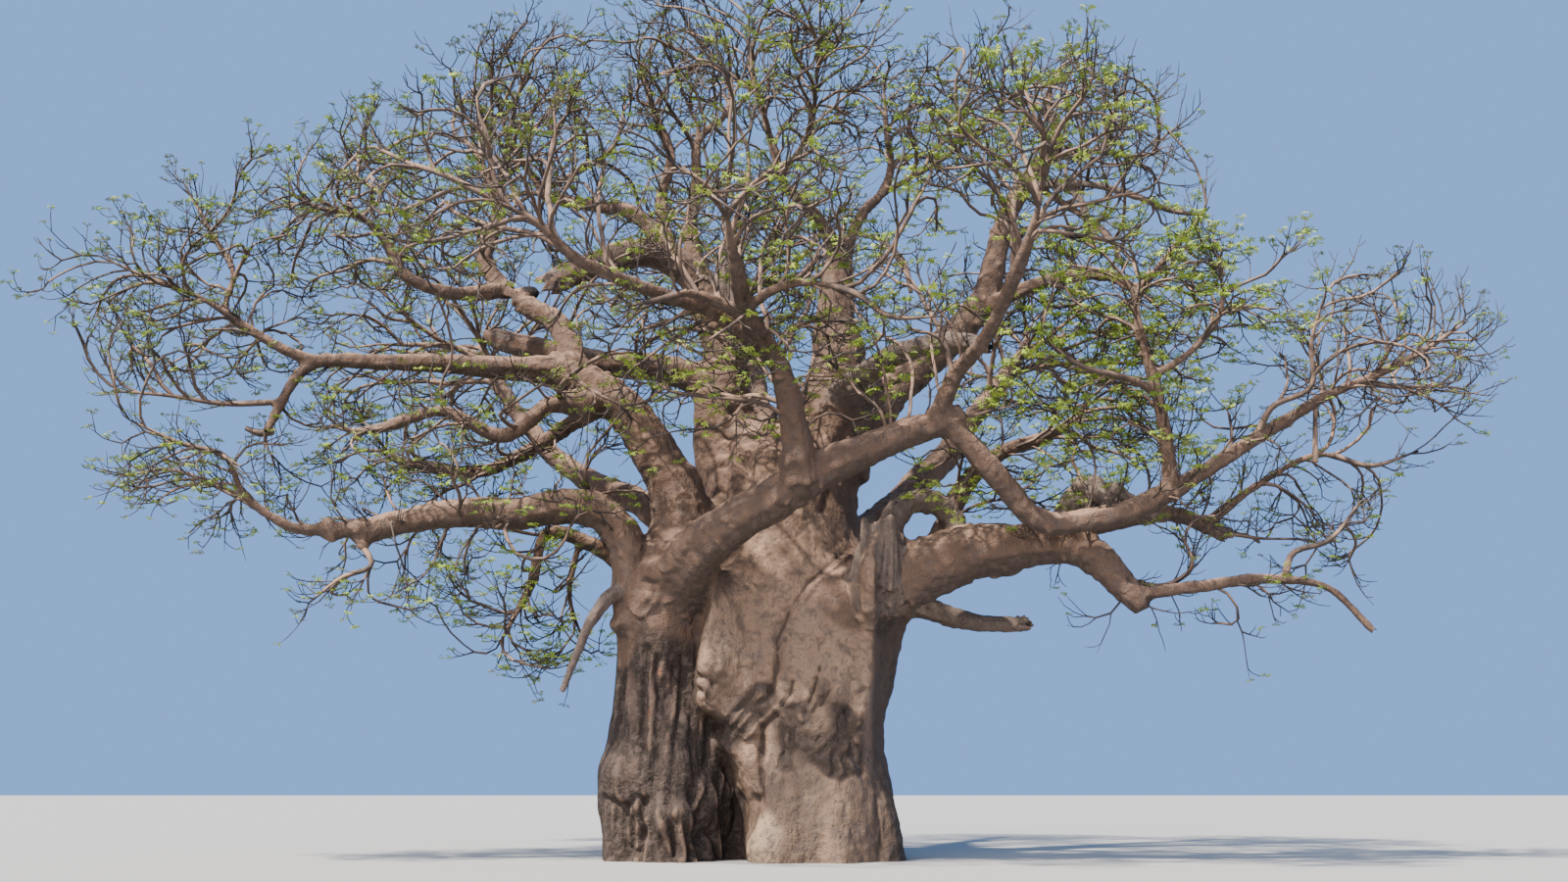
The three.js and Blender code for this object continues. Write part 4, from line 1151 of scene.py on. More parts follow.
# Creases and, with a height above 0, ridges: width, height, and the places they pass
CREASES = [
    (0.05, -0.1, [(-1.2, -2.0, 4.0), (-1.0, -2.2, 3.95), (-0.9, -2.2, 3.8)]),
    (0.05, -0.1, [(-1.2, -2.0, 3.7), (-1.02, -2.2, 3.6), (-0.9, -2.2, 3.45)]),
    (0.05, -0.09, [(-1.05, -2.0, 3.45), (-0.85, -2.2, 3.3), (-0.7, -2.2, 3.1)]),
    (0.09, -0.22, [(0.45, -2.2, 3.2), (0.22, -2.2, 2.9), (0.15, -2.2, 2.2), (0.12, -2.2, 1.3)]),
    (0.05, 0.09, [(0.5, -2.1, 4.7), (0.89, -2.0, 5.39), (1.33, -1.8, 6.0), (2.18, -1.2, 6.78)]),
    (0.05, -0.05, [(0.45, -2.1, 4.7), (0.8, -2.0, 5.5), (1.2, -1.8, 6.1), (2.05, -1.2, 6.9)]),
    (0.26, -0.16, [(0.7, -2.1, 5.3), (0.45, -2.1, 4.3), (0.2, -2.2, 3.5)]),
    (0.08, -0.14, [(0.5, -2.1, 4.7), (0.47, -2.1, 4.2), (0.3, -2.2, 3.6), (0.2, -2.2, 3.2)]),
    (0.14, -0.08, [(-0.3, -2.0, 5.6), (0.0, -2.1, 4.7), (0.05, -2.2, 3.9)]),
    (0.12, -0.16, [(-0.75, -1.0, 8.1), (-0.75, -0.2, 9.4), (-0.6, 0.3, 10.4)]),
    (0.14, -0.12, [(1.6, -1.3, 7.9), (1.9, -1.0, 8.8), (2.1, -0.5, 9.8)]),
    (0.12, 0.07, [(1.3, -2.1, 5.3), (1.7, -2.0, 4.7), (2.2, -2.1, 4.3)]),
    (0.07, -0.16, [(-2.1, -2.05, 4.4), (-2.2, -2.0, 4.05), (-2.1, -2.0, 3.7)]),
    (0.06, -0.1, [(-1.75, -2.0, 4.2), (-1.8, -1.95, 3.6), (-1.9, -1.95, 3.1)]),
    (0.04, -0.06, [(-2.45, -1.9, 6.1), (-2.1, -2.1, 6.02)]),
    (0.04, -0.05, [(-2.4, -1.9, 5.9), (-2.15, -2.1, 5.86)]),
    (0.05, 0.07, [(-2.7, -1.85, 5.5), (-2.5, -2.0, 5.3), (-2.3, -2.1, 5.45), (-2.15, -2.1, 5.62)]),
    (0.04, -0.11, [(1.47, -2.2, 4.18), (1.38, -2.2, 3.8), (1.12, -2.3, 3.15)]),
    (0.035, -0.08, [(1.74, -2.2, 3.75), (1.52, -2.3, 3.35)]),
    (0.04, -0.09, [(0.86, -2.2, 3.9), (0.8, -2.2, 3.6), (0.62, -2.3, 3.35)]),
    (0.035, -0.07, [(0.6, -2.2, 3.8), (0.7, -2.2, 3.65)]),
    (0.045, -0.1, [(2.05, -2.2, 3.2), (2.2, -2.1, 3.6), (2.45, -2.1, 3.72), (2.9, -1.7, 3.68)]),
    (0.1, -0.26, [(-2.42, -2.2, 1.3), (-2.45, -2.2, 0.7), (-2.55, -2.2, 0.2)]),
    (0.09, -0.22, [(-1.78, -2.3, 0.9), (-1.6, -2.3, 0.2)]),
    (0.08, -0.2, [(-1.3, -2.2, 1.6), (-1.22, -2.3, 0.9), (-1.25, -2.3, 0.2)]),
    (0.08, -0.2, [(-0.8, -2.2, 1.15), (-0.85, -2.3, 0.2)]),
    (0.08, -0.12, [(-2.35, -2.0, 4.6), (-2.42, -2.0, 3.6), (-2.38, -2.0, 2.4)]),
    (0.08, -0.12, [(-1.95, -2.0, 3.9), (-1.98, -2.0, 3.0), (-2.05, -2.0, 2.2)]),
    (0.07, -0.12, [(-3.2, -1.6, 1.35), (-2.8, -1.9, 1.2), (-2.5, -2.1, 1.4)]),
    (0.06, -0.14, [(-2.8, -1.9, 1.25), (-2.85, -2.0, 0.6), (-2.8, -2.0, 0.1)]),
    (0.05, -0.1, [(-3.1, -1.7, 1.3), (-3.15, -1.8, 0.7), (-3.1, -1.8, 0.1)]),
    (0.06, -0.13, [(7.2, -1.9, 8.2), (7.6, -1.95, 7.85), (8.0, -1.9, 7.65)]),
    (0.06, -0.13, [(7.95, -1.8, 8.55), (8.1, -1.85, 8.1), (8.5, -1.75, 7.8)]),
]


def distance_to_line(points, places):
    best = np.full(len(points), math.inf)
    for start, stop in zip(places, places[1:]):
        start = np.array(start)
        run = np.array(stop) - start
        share = np.clip(((points - start) @ run) / (run @ run), 0, 1)
        gap = np.linalg.norm(points - start - share[:, None] * run, axis=1)
        best = np.minimum(best, gap)
    return best


def feature_relief(points):
    """The single bumps, knots, creases and ridges, and how deep each point lies in a crease."""
    rise = np.zeros(len(points))
    groove_shade = np.zeros(len(points))
    for place, radius, height in BUMPS:
        gap = np.linalg.norm((points - np.array(place)) * BUMP_SHAPE, axis=1)
        rise += height * bell(gap, 0, radius)
    for width, height, places in CREASES:
        gap = distance_to_line(points * FLAT, np.array(places) * FLAT)
        ragged = gap + min(MOST_STRAY, width * CREASE_STRAY) * waves(points, "creases")
        line = bell(ragged, 0, width)
        rise += height * line
        if height < 0 and width < WIDEST_SHADED_CREASE:
            groove_shade = np.maximum(groove_shade, line)
    return rise, groove_shade


def hollowed(points, limbs):
    """Broken ends: a ragged rim round a hollow. Gives the points and how deep each one lies in the painted
    shade of its hollow.
    """
    dark = np.zeros(len(points))
    behind, beside = END_REACH
    wide, deep = END_HOLLOW
    for limb in limbs:
        if limb.name not in BROKEN_ENDS:
            continue
        radius = limb.radius[-1]
        way = limb.way[-1]
        offset = points - limb.place[-1]
        along = offset @ way
        out = np.linalg.norm(offset - along[:, None] * way, axis=1)
        at_end = (along > -behind * radius) & (out < beside * radius)
        depth = deep * radius * np.clip(1 - (out / (wide * radius)) ** 2, 0, 1) ** END_HOLLOW_CURVE
        rim = RIM_HEIGHT * radius * noise(points, RIM_WAVES * radius, RIM_LAYER)
        shift = np.where(at_end, rim * ease(out / radius, *RIM_WIDTH) - depth, 0)
        points = points + shift[:, None] * way
        dark = np.maximum(dark, np.where(at_end, ease(-shift / radius, *HOLLOW_SHADE_DEPTH), 0))
    return points, dark


def build_wood(limbs):
    """Points and four-sided faces of the trunk and the thick limbs as one skin, with what each point
    lies on, how far it is sunk between its neighbours, and how deep in a crease or hollow end it is."""
    trunk_points, trunk_faces = trunk_surface(limbs)
    tubes = [limb.tube() for limb in limbs if limb.thick > 2]
    points, faces = joined([(trunk_points, trunk_faces.tolist()), *tubes])
    points, quads = remeshed(points, faces, WOOD_VOXEL)
    edges = edges_of(quads)
    points = relaxed(points, edges, SMOOTHING_ROUNDS, SMOOTHING_SHARE)
    share = upper_trunk(points)[:, None]
    rounded = relaxed(points, edges, FORK_ROUNDING, SMOOTHING_SHARE)
    points = points * (1 - share) + rounded * share
    near = NearestLimb(limbs, points)
    limb_rise = limb_relief(points, near)
    split = np.array([limb.name.startswith("splinter") for limb in limbs])[near.limb]
    limb_rise[split] = splinter_relief(points[split])
    feature_rise, groove_shade = feature_relief(points)
    rise = near.share * limb_rise + (1 - near.share) * trunk_relief(points) + feature_rise
    points = points + normals_of(points, quads) * rise[:, None]
    points, dark = hollowed(points, limbs)
    points = relaxed(points, edges, 1, LAST_SMOOTHING)
    inward = relaxed(points, edges, SUNK_ROUNDS, SMOOTHING_SHARE) - points
    sunk = (inward * normals_of(points, quads)).sum(1)
    return points, quads, near, {"sunk": sunk, "groove_shade": groove_shade, "hollow": dark}


# Pieces of the visual model


def mesh_from(points, faces):
    """A mesh from arrays. faces has one row of corner numbers for each face."""
    mesh = bpy.data.meshes.new("mesh")
    mesh.vertices.add(len(points))
    mesh.vertices.foreach_set("co", np.ascontiguousarray(points, np.float32).ravel())
    mesh.loops.add(faces.size)
    mesh.loops.foreach_set("vertex_index", np.ascontiguousarray(faces, np.int32).ravel())
    mesh.polygons.add(len(faces))
    mesh.polygons.foreach_set("loop_start", np.arange(len(faces), dtype=np.int32) * faces.shape[1])
    mesh.update(calc_edges=True)
    return mesh


def add_piece(name, mesh, material, nodes):
    piece = bpy.data.objects.new(name, mesh)
    mesh.name = name
    bpy.context.scene.collection.objects.link(piece)
    mesh.materials.append(material)
    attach(piece, "root")
    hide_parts(*nodes)
    return piece


def only_used(points, faces):
    """The points that some face uses, their old numbers, and the faces with the new numbers."""
    used, numbers = np.unique(faces, return_inverse=True)
    return points[used], used, numbers.reshape(faces.shape)


def set_numbers(mesh, name, values):
    layer = mesh.attributes.new(name, "FLOAT", "POINT")
    layer.data.foreach_set("value", np.ascontiguousarray(values, np.float32))


def close_at_ground(mesh):
    """Fills the open rim at ground level with a flat face."""
    work = bmesh.new()
    work.from_mesh(mesh)
    rim = [edge for edge in work.edges if edge.is_boundary and max(v.co.z for v in edge.verts) < AT_GROUND]
    filled = bmesh.ops.holes_fill(work, edges=rim, sides=0)
    bmesh.ops.triangulate(work, faces=filled["faces"])
    work.to_mesh(mesh)
    work.free()


# The twigs, grown towards targets in the masses of foliage


def inside(points, tree, depth):
    """Which of these points lie this deep or deeper inside the closed shape that the tree holds."""
    found = []
    for point in points:
        near, normal, _, gap = tree.find_nearest(point)
        found.append(gap > depth and (near - Vector(point)).dot(normal) > 0)
    return np.array(found)


def with_gaps(points):
    """The points without those that fall where the sky shows through."""
    return points[noise(points, GAP_SIZE, GAP_LAYER) > GAP_LEVEL]


def targets_in_mass(name, share, draw):
    points, faces = packed_surface(name)
    tree = BVHTree.FromPolygons(points.tolist(), faces.tolist())
    low = points.min(0)
    high = points.max(0)
    count = int(np.prod(high - low) * TARGETS_PER_CUBIC_METRE * share)
    tries = with_gaps(draw.uniform(low, high, size=(count, 3)))
    return tries[inside(tries, tree, TARGET_DEPTH)]


def targets_in_thicket(middle, size, share, draw):
    count = int(np.prod(size) * TARGETS_PER_CUBIC_METRE * share)
    tries = draw.uniform(-0.5, 0.5, size=(count, 3))
    tries = tries[np.linalg.norm(tries, axis=1) < 0.5]
    return with_gaps(np.array(middle) + tries * size)


def closest(places, others, best, owner, first):
    """Updates each place's nearest other, by square of distance, where one of these is nearer."""
    for some in np.array_split(np.arange(len(places)), len(places) * len(others) // MOST_PAIRS + 1):
        spots = places[some]
        gap = (spots**2).sum(1)[:, None] - 2 * spots @ others.T + (others**2).sum(1)
        near = gap.argmin(1)
        gap = gap[np.arange(len(some)), near]
        nearer = gap < best[some]
        best[some[nearer]] = gap[nearer]
        owner[some[nearer]] = near[nearer] + first


def grow(place, way, targets, draw):
    """Twigs that start at these places and grow step by step towards the targets. Each target pulls
    at the nearest twig, and is gone once a twig has reached it. Gives every joint's place and parent."""
    parent = np.full(len(place), -1)
    children = np.zeros(len(place), int)
    best = np.full(len(targets), math.inf)
    owner = np.full(len(targets), -1)
    closest(targets, place, best, owner, 0)
    for _ in range(GROWTH_ROUNDS):
        left = best > TARGET_SPACING**2
        targets, best, owner = targets[left], best[left], owner[left]
        pulls = (best < PULL_REACH**2) & (children[owner] < MOST_CHILDREN)
        if not pulls.any():
            break
        pull = np.zeros_like(place)
        toward = unit(targets[pulls] - place[owner[pulls]])
        np.add.at(pull, owner[pulls], toward)
        growing = np.unique(owner[pulls])
        outward = unit(place[growing] - CROWN_MIDDLE)
        heading = unit(pull[growing]) + KEEP_COURSE * way[growing] + TWIG_RISE * UP + OUTWARD * outward
        heading = unit(heading + TWIG_STRAY * draw.normal(size=heading.shape))
        hanging = place[growing][:, 2] < HANGING_BELOW
        heading[:, 2] = np.maximum(heading[:, 2], np.where(hanging, -1, STEEPEST_FALL))
        step = GROWTH_STEP * draw.uniform(*STEP_VARIES, size=(len(growing), 1))
        fresh = place[growing] + heading * step
        children[growing] += 1
        first = len(place)
        place = np.vstack([place, fresh])
        way = np.vstack([way, heading])
        parent = np.concatenate([parent, growing])
        children = np.concatenate([children, np.zeros(len(fresh), int)])
        closest(targets, fresh, best, owner, first)
    return place, way, parent


def add_sprays(tree, roots, setting, draw):
    """Adds a chain of joints to each root, which leans aside and bends up. Gives the tree, and the
    numbers of the new joints from one step to the next."""
    place, way, parent = tree
    length, varies, lean, joints, rise = setting
    heading = way[roots]
    aside = unit(np.cross(heading, draw.normal(size=heading.shape)))
    heading = unit(heading + aside * draw.uniform(*lean, size=(len(roots), 1)))
    length = length * draw.uniform(*varies, size=(len(roots), 1))
    levels = []
    for _ in range(joints):
        parent = np.concatenate([parent, roots])
        roots = np.arange(len(place), len(place) + len(roots))
        place = np.vstack([place, place[parent[roots]] + heading * length / joints])
        way = np.vstack([way, heading])
        levels.append(roots)
        heading = unit(heading + rise * UP + SPRAY_STRAY * draw.normal(size=heading.shape))
    return (place, way, parent), levels


def softly_within(place):
    """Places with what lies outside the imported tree's box drawn in towards it."""
    low, high = np.array(cad_box)
    held = np.clip(place, low, high)
    past = place - held
    return held + OVERSHOOT * np.tanh(past / OVERSHOOT)


def bears_child(parent, first):
    """Which joints another one grows from. The first ones lie on the limbs."""
    has_child = np.zeros(len(parent), bool)
    has_child[parent[first:]] = True
    return has_child


def add_shoots(tree, first, thin, draw):
    """Shoots along every thin branch and at its end, each with twigs of its own. All of them bend up."""
    place, _, parent = tree
    has_child = bears_child(parent, first)
    joints = np.concatenate([thin, np.arange(first, len(place))])
    ends = joints[~has_child[joints]]
    sides = joints[has_child[joints]]
    sides = sides[draw.random(len(sides)) < SHOOT_SHARE]
    roots = np.concatenate([np.repeat(ends, draw.integers(*SHOOTS_AT_END, len(ends), endpoint=True)), sides])
    tree, shoots = add_sprays(tree, roots, SHOOTS, draw)
    roots = np.concatenate(shoots[:-1])
    roots = roots[draw.random(len(roots)) < TWIGLET_SHARE]
    tree, twiglets = add_sprays(tree, roots, TWIGLETS, draw)
    return tree, np.concatenate([shoots[-1], twiglets[-1]])


def pipe_radii(parent, first):
    """Each twig as thick as the ends that it carries ask for."""
    load = np.where(bears_child(parent, first), 0.0, 1.0)
    for number in range(len(parent) - 1, first - 1, -1):
        load[number] += LOAD_PER_JOINT
        load[parent[number]] += load[number]
    return TIP_RADIUS * load ** (1 / PIPE_EXPONENT), load


class Rings:
    """Rings that tubes run between: place, direction, radius, and a number for each tube's line."""

    def __init__(self):
        self.place = []
        self.radius = []
        self.line = []
        self.spans = []
        self.count = 0
        self.lines = 0

    def add(self, place, radius, line):
        numbers = np.arange(self.count, self.count + len(place))
        self.place.append(place)
        self.radius.append(radius)
        self.line.append(line + self.lines)
        self.count += len(place)
        return numbers

    def finish(self):
        self.place = np.vstack(self.place)
        self.radius = np.concatenate(self.radius)
        self.line = np.concatenate(self.line)
        self.spans = np.vstack(self.spans)
        run = unit(self.place[self.spans[:, 1]] - self.place[self.spans[:, 0]])
        self.way = np.zeros_like(self.place)
        np.add.at(self.way, self.spans[:, 0], run)
        np.add.at(self.way, self.spans[:, 1], run)
        self.way = unit(self.way)
        total = np.zeros((self.line.max() + 1, 3))
        np.add.at(total, self.line, np.abs(self.way))
        least = np.eye(3)[total.argmin(1)][self.line]
        self.across = unit(np.cross(self.way, least))
        self.third = np.cross(self.way, self.across)

    def tubes(self, spans, sides):
        """Points and four-sided faces of the tubes round these spans."""
        used, numbers = np.unique(spans, return_inverse=True)
        numbers = numbers.reshape(spans.shape)
        ring = circles(self.across[used], self.third[used], sides)
        points = self.place[used, None] + ring * self.radius[used, None, None]
        side = np.arange(sides)
        following = (side + 1) % sides
        low = numbers[:, :1] * sides
        high = numbers[:, 1:] * sides
        faces = np.stack([low + side, low + following, high + following, high + side], axis=2)
        return points.reshape(-1, 3), faces.reshape(-1, 4)


def lay_rings(limbs, place, parent, first, load, radius):
    """Rings along the thin limbs and along every grown twig."""
    rings = Rings()
    for limb in limbs:
        start = max(limb.thick - RINGS_IN_SKIN, 0)
        if limb.thick < len(limb.at):
            one_line = np.zeros(len(limb.at) - start, int)
            numbers = rings.add(limb.place[start:], limb.radius[start:], one_line)
            rings.spans.append(np.column_stack([numbers[:-1], numbers[1:]]))
            rings.lines += 1
    grown = np.arange(first, len(place))
    heaviest = np.full(len(place), -1)
    order = grown[np.argsort(load[grown], kind="stable")]
    heaviest[parent[order]] = order
    heaviest[:first] = -1
    carries_on = heaviest[parent[grown]] == grown
    line = np.zeros(len(place), int)
    for number, on in zip(grown, carries_on):
        line[number] = line[parent[number]] if on else number
    own = rings.add(place[grown], radius[grown], line[grown])
    branching = grown[~carries_on]
    widest = radius[parent[branching]] * WIDEST_FOOT
    foot_radius = np.minimum(radius[branching] * FOOT_WIDENING, widest)
    feet = rings.add(place[parent[branching]], foot_radius, line[branching])
    low = np.empty(len(grown), int)
    low[carries_on] = own[parent[grown[carries_on]] - first]
    low[~carries_on] = feet
    rings.spans.append(np.column_stack([low, own]))
    rings.finish()
    return rings


def grow_twigs(limbs):
    """All twigs and thin branches as rings with spans, and the place of each free end."""
    draw = np.random.default_rng(SEED + 1)
    targets = [targets_in_mass(name, share, draw) for name, (share, *_) in MASSES.items()]
    targets += [targets_in_thicket(*thicket, draw) for thicket in THICKETS]
    starts = []
    for limb in limbs:
        slim = np.flatnonzero(limb.radius < THICKEST_WITH_TWIGS)
        if not limb.name.startswith(("dead", "splinter")):
            starts.append((limb, slim[slim > BARE_RINGS][::2]))
    place = np.vstack([limb.place[some] for limb, some in starts])
    way = np.vstack([limb.way[some] for limb, some in starts])
    thick = np.concatenate([limb.radius[some] for limb, some in starts])
    first = len(place)
    tree = grow(place, way, np.vstack(targets), draw)
    thin = np.flatnonzero(thick < THICKEST_WITH_SHOOTS)
    (place, way, parent), ends = add_shoots(tree, first, thin, draw)
    place[first:] = softly_within(place[first:])
    radius, load = pipe_radii(parent, first)
    radius[:first] = thick
    radius[ends] *= TIP_SLIMMING
    rings = lay_rings(limbs, place, parent, first, load, radius)
    return rings, place[ends]


# Leaves


def mass_of(points):
    """The number of the mass that each point lies in or nearest to."""
    best = np.full(len(points), math.inf)
    owner = np.zeros(len(points), int)
    for number, name in enumerate(MASSES):
        low, high = (np.array(corner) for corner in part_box(name))
        gap = np.linalg.norm((points - (low + high) / 2) / (high - low), axis=1)
        closer = gap < best
        best[closer] = gap[closer]
        owner[closer] = number
    return owner


def leaves_at(tips, size, draw):
    """Points and triangles of a tuft of hand-shaped leaves round each tip, which hang like an umbrella."""
    tip = np.repeat(tips, LEAVES_PER_TUFT, axis=0)
    size = np.repeat(size, LEAVES_PER_TUFT)[:, None]
    turn = np.tile(np.arange(LEAVES_PER_TUFT), len(tips)) + draw.uniform(*LEAF_TURN, len(tip))
    tuft_turn = draw.uniform(*TUFT_TURN, len(tips))
    turn = turn * 2 * math.pi / LEAVES_PER_TUFT + np.repeat(tuft_turn, LEAVES_PER_TUFT)
    level = np.column_stack([np.cos(turn), np.sin(turn), np.zeros(len(turn))])
    each = (len(tip), 1)
    stalk = unit(level + UP * draw.uniform(*STALK_RISE, size=each))
    middle = tip + stalk * size * LEAF_STALK * draw.uniform(*STALK_VARIES, size=each)
    forward = unit(level - UP * draw.uniform(*LEAF_DROOP, size=each))
    side = unit(np.cross(forward, UP + LEAF_TILT * draw.normal(size=tip.shape)))
    facing = np.cross(side, forward)
    points = []
    for angle in np.linspace(-LEAF_SPREAD, LEAF_SPREAD, LEAFLETS):
        shorter = 1 - OUTER_SHORTER * abs(angle) / LEAF_SPREAD
        share = shorter * draw.uniform(*LEAFLET_VARIES, size=each) * size
        along = unit(forward * math.cos(angle) + side * math.sin(angle) - LEAF_CUP * facing)
        across = side * math.cos(angle) - forward * math.sin(angle)
        length = along * LEAFLET_LENGTH * share
        half = LEAFLET_WIDTH / 2 * share
        edge = middle + length * WIDEST_AT + facing * half * LEAFLET_RISE
        points.append(np.stack(
            [middle, edge + across * half, middle + length, edge - across * half], axis=1))
    points = np.concatenate(points).reshape(-1, 3)
    corner = np.arange(0, len(points), 4)[:, None]
    faces = np.concatenate([corner + [0, 1, 2], corner + [0, 2, 3]])
    return points, faces


def build_leaves(tips):
    """One piece for each tint. The tint changes from tuft to tuft and across the crown."""
    draw = np.random.default_rng(SEED + 2)
    settings = np.array([setting[1:] for setting in MASSES.values()])[mass_of(tips)]
    share, size, fresh = settings.T
    bearing = draw.random(len(tips)) < share * (LEAFY_LEVEL + waves(tips, "leafy"))
    size = size * draw.uniform(*TUFT_VARIES, len(tips)) * (1 + waves(tips, "leaf_size"))
    tint = draw.random(len(tips)) * TINT_RANGE + fresh + waves(tips, "leaf_tint")
    order = np.digitize(tint, TINT_STEPS)
    for number, (name, colour) in enumerate(LEAF_TINTS.items()):
        some = bearing & (order == number)
        points, faces = leaves_at(tips[some], size[some], draw)
        material = leaf_material(name, colour)
        for part, chosen in enumerate(np.array_split(faces, len(faces) // MOST_TRIANGLES + 1)):
            own_points, _, own_faces = only_used(points, chosen)
            mesh = mesh_from(own_points, own_faces)
            add_piece(f"{name}_{part + 1}", mesh, material, list(MASSES))


# Materials


class Paint:
    """A material with a few helpers that add nodes to it."""

    def __init__(self, name, roughness):
        self.material = bpy.data.materials.new(name)
        self.material.use_nodes = True
        self.tree = self.material.node_tree
        self.shader = self.tree.nodes["Principled BSDF"]
        self.shader.inputs["Roughness"].default_value = roughness
        self.shader.inputs["Specular IOR Level"].default_value = SPECULAR_LEVEL
        self.place = self.node("TexCoord", {}).outputs["Object"]

    def node(self, kind, inputs):
        """A new node. Each input gets its value, or a link where it is given another node's output."""
        node = self.tree.nodes.new(f"ShaderNode{kind}")
        for name, given in inputs.items():
            if isinstance(given, bpy.types.NodeSocket):
                self.tree.links.new(given, node.inputs[name])
            else:
                node.inputs[name].default_value = given
        return node

    def noise(self, scale, detail=3, stretch=(1, 1, 1), distortion=0):
        sizes = [scale * along for along in stretch]
        place = self.node("Mapping", {"Vector": self.place, "Scale": sizes}).outputs["Vector"]
        setting = {"Vector": place, "Scale": 1, "Detail": detail, "Distortion": distortion}
        return self.node("TexNoise", setting).outputs["Fac"]

    def value(self, name):
        node = self.node("Attribute", {})
        node.attribute_name = name
        return node.outputs["Fac"]

    def ramp(self, value, low, high, top=1.0):
        node = self.node("MapRange", {"Value": value, "From Min": low, "From Max": high, "To Max": top})
        node.interpolation_type = "SMOOTHSTEP"
        return node.outputs["Result"]

    def upward(self):
        """How far the surface faces up: 1 on top, -1 beneath."""
        normal = self.node("NewGeometry", {}).outputs["Normal"]
        return self.node("SeparateXYZ", {"Vector": normal}).outputs["Z"]

    def blend(self, colour, other, factor):
        """The first colour with the other mixed in by the factor. A colour is a link or three numbers."""
        node = self.node("Mix", {})
        node.data_type = "RGBA"
        self.tree.links.new(factor, node.inputs["Factor"])
        for socket, given in (("A_Color", colour), ("B_Color", other)):
            target = next(entry for entry in node.inputs if entry.identifier == socket)
            if isinstance(given, tuple):
                target.default_value = (*given, 1)
            else:
                self.tree.links.new(given, target)
        return next(entry for entry in node.outputs if entry.identifier == "Result_Color")

    def bump(self, patterns):
        """Bumps from patterns, one after the other: the pattern, its strength and its depth."""
        normal = None
        for height, strength, depth in patterns:
            inputs = {"Height": height, "Strength": strength, "Distance": depth}
            if normal:
                inputs["Normal"] = normal
            normal = self.node("Bump", inputs).outputs["Normal"]
        self.tree.links.new(normal, self.shader.inputs["Normal"])

    def finish(self, colour):
        self.tree.links.new(colour, self.shader.inputs["Base Color"])
        return self.material


def bark_material():
    paint = Paint("bark", BARK_ROUGHNESS)
    patterns = {name: paint.noise(*setting) for name, setting in BARK_PATTERNS.items()}
    colour = BARK_TAN
    for other, name, low, high, share in BARK_LAYERS:
        factor = patterns[name] if name in patterns else paint.value(name)
        colour = paint.blend(colour, other, paint.ramp(factor, low, high, share))
    paint.bump([(patterns[name], strength, depth) for name, strength, depth in BARK_BUMPS])
    return paint.finish(colour)


def branch_material(name, light, dark):
    paint = Paint(name, BRANCH_ROUGHNESS)
    patches = paint.ramp(paint.noise(*BRANCH_PATCHES), *BRANCH_PATCH_LEVELS)
    shade = paint.ramp(paint.upward(), *BRANCH_SHADE)
    return paint.finish(paint.blend(paint.blend(light, dark, patches), PAINTED_UNDERSIDE_SHADE, shade))


def leaf_material(name, colour):
    paint = Paint(name, LEAF_ROUGHNESS)
    paint.shader.inputs["Base Color"].default_value = (*colour, 1)
    return paint.material


# Assembly


def wood_values(points, normals, near, sunk, groove_shade, hollow):
    """The numbers at each point that the bark's material colours by, painted shade and painted highlight
    among them.
    """
    x, y, height = points.T
    left = left_share(points, COLOUR_BLEND)
    on_trunk = 1 - near.share
    uneven = height + waves(points, "greys")
    torn = distance_to_line(points * FLAT, (np.array(TORN_LEFT_EDGE) + TORN_RIGHT_EDGE) / 2 * FLAT)
    # Grey bark; on the left stem its darkness is also painted shade
    grey = np.max([
        left * (1 - LEFT_GREY_LOSS * ease(uneven, *LEFT_GREY_HEIGHTS)),
        FOOT_GREY * (1 - ease(uneven, *FOOT_GREY_TOP)),
        TORN_GREY * (1 - ease(torn, *TORN_GREY_REACH)),
        CRUMPLED_GREY * crumpled_share(points) * (y < 0),
    ], axis=0)
    pink = left * ease(waves(points, "pink"), *PINK_PATCHES) * zone(uneven, *PINK_HEIGHTS)
    pale = np.linalg.norm((points - PALE_ROOT) / PALE_SHAPE, axis=1) + waves(points, "pale_root")
    # Painted shade on the main stem's right side, which faces away from the sun
    side = ease(x, *SHADED_SIDE_ACROSS) * ease(normals[:, 0], *SHADED_SIDE_FACING) * (1 - ease(height, *SHADED_SIDE_TOP))
    stray = waves(points, "scars")
    scar = np.zeros(len(points))
    for place, radius in SCARS:
        gap = np.linalg.norm((points - np.array(place)) / SCAR_SHAPE, axis=1) + stray
        scar = np.maximum(scar, 1 - ease(gap, radius * SCAR_CORE, radius))
    return {
        # How far the surface faces up, for the painted highlight on tops and the painted shade beneath
        "upward": normals[:, 2],
        # Boughs, left stem and high trunk: darker brown that is partly painted shade
        "bough": np.maximum(np.maximum(near.share, left), ease(height, *BOUGH_BROWN_AND_SHADE_HEIGHTS)),
        "grey": grey * (1 - ease(height, *GREY_TOP)) * on_trunk,
        "pink": pink * on_trunk,
        # painted shade on the main stem's right side
        "side": side,
        "pale": 1 - ease(pale, *PALE_REACH),
        "scar": scar,
        # How deep a point lies in a broken end's hollow, for its painted shade
        "hollow": hollow,
        # Painted shade in sunk places and narrow grooves, and painted highlight on raised edges
        "crease": np.maximum(ease(sunk, *CREASE_SHADE_DEPTH), ease(groove_shade, *GROOVE_SHADE_LEVELS) * GROOVE_SHADE_SHARE),
        "edge": ease(-sunk, *EDGE_HIGHLIGHT_RISE),
    }


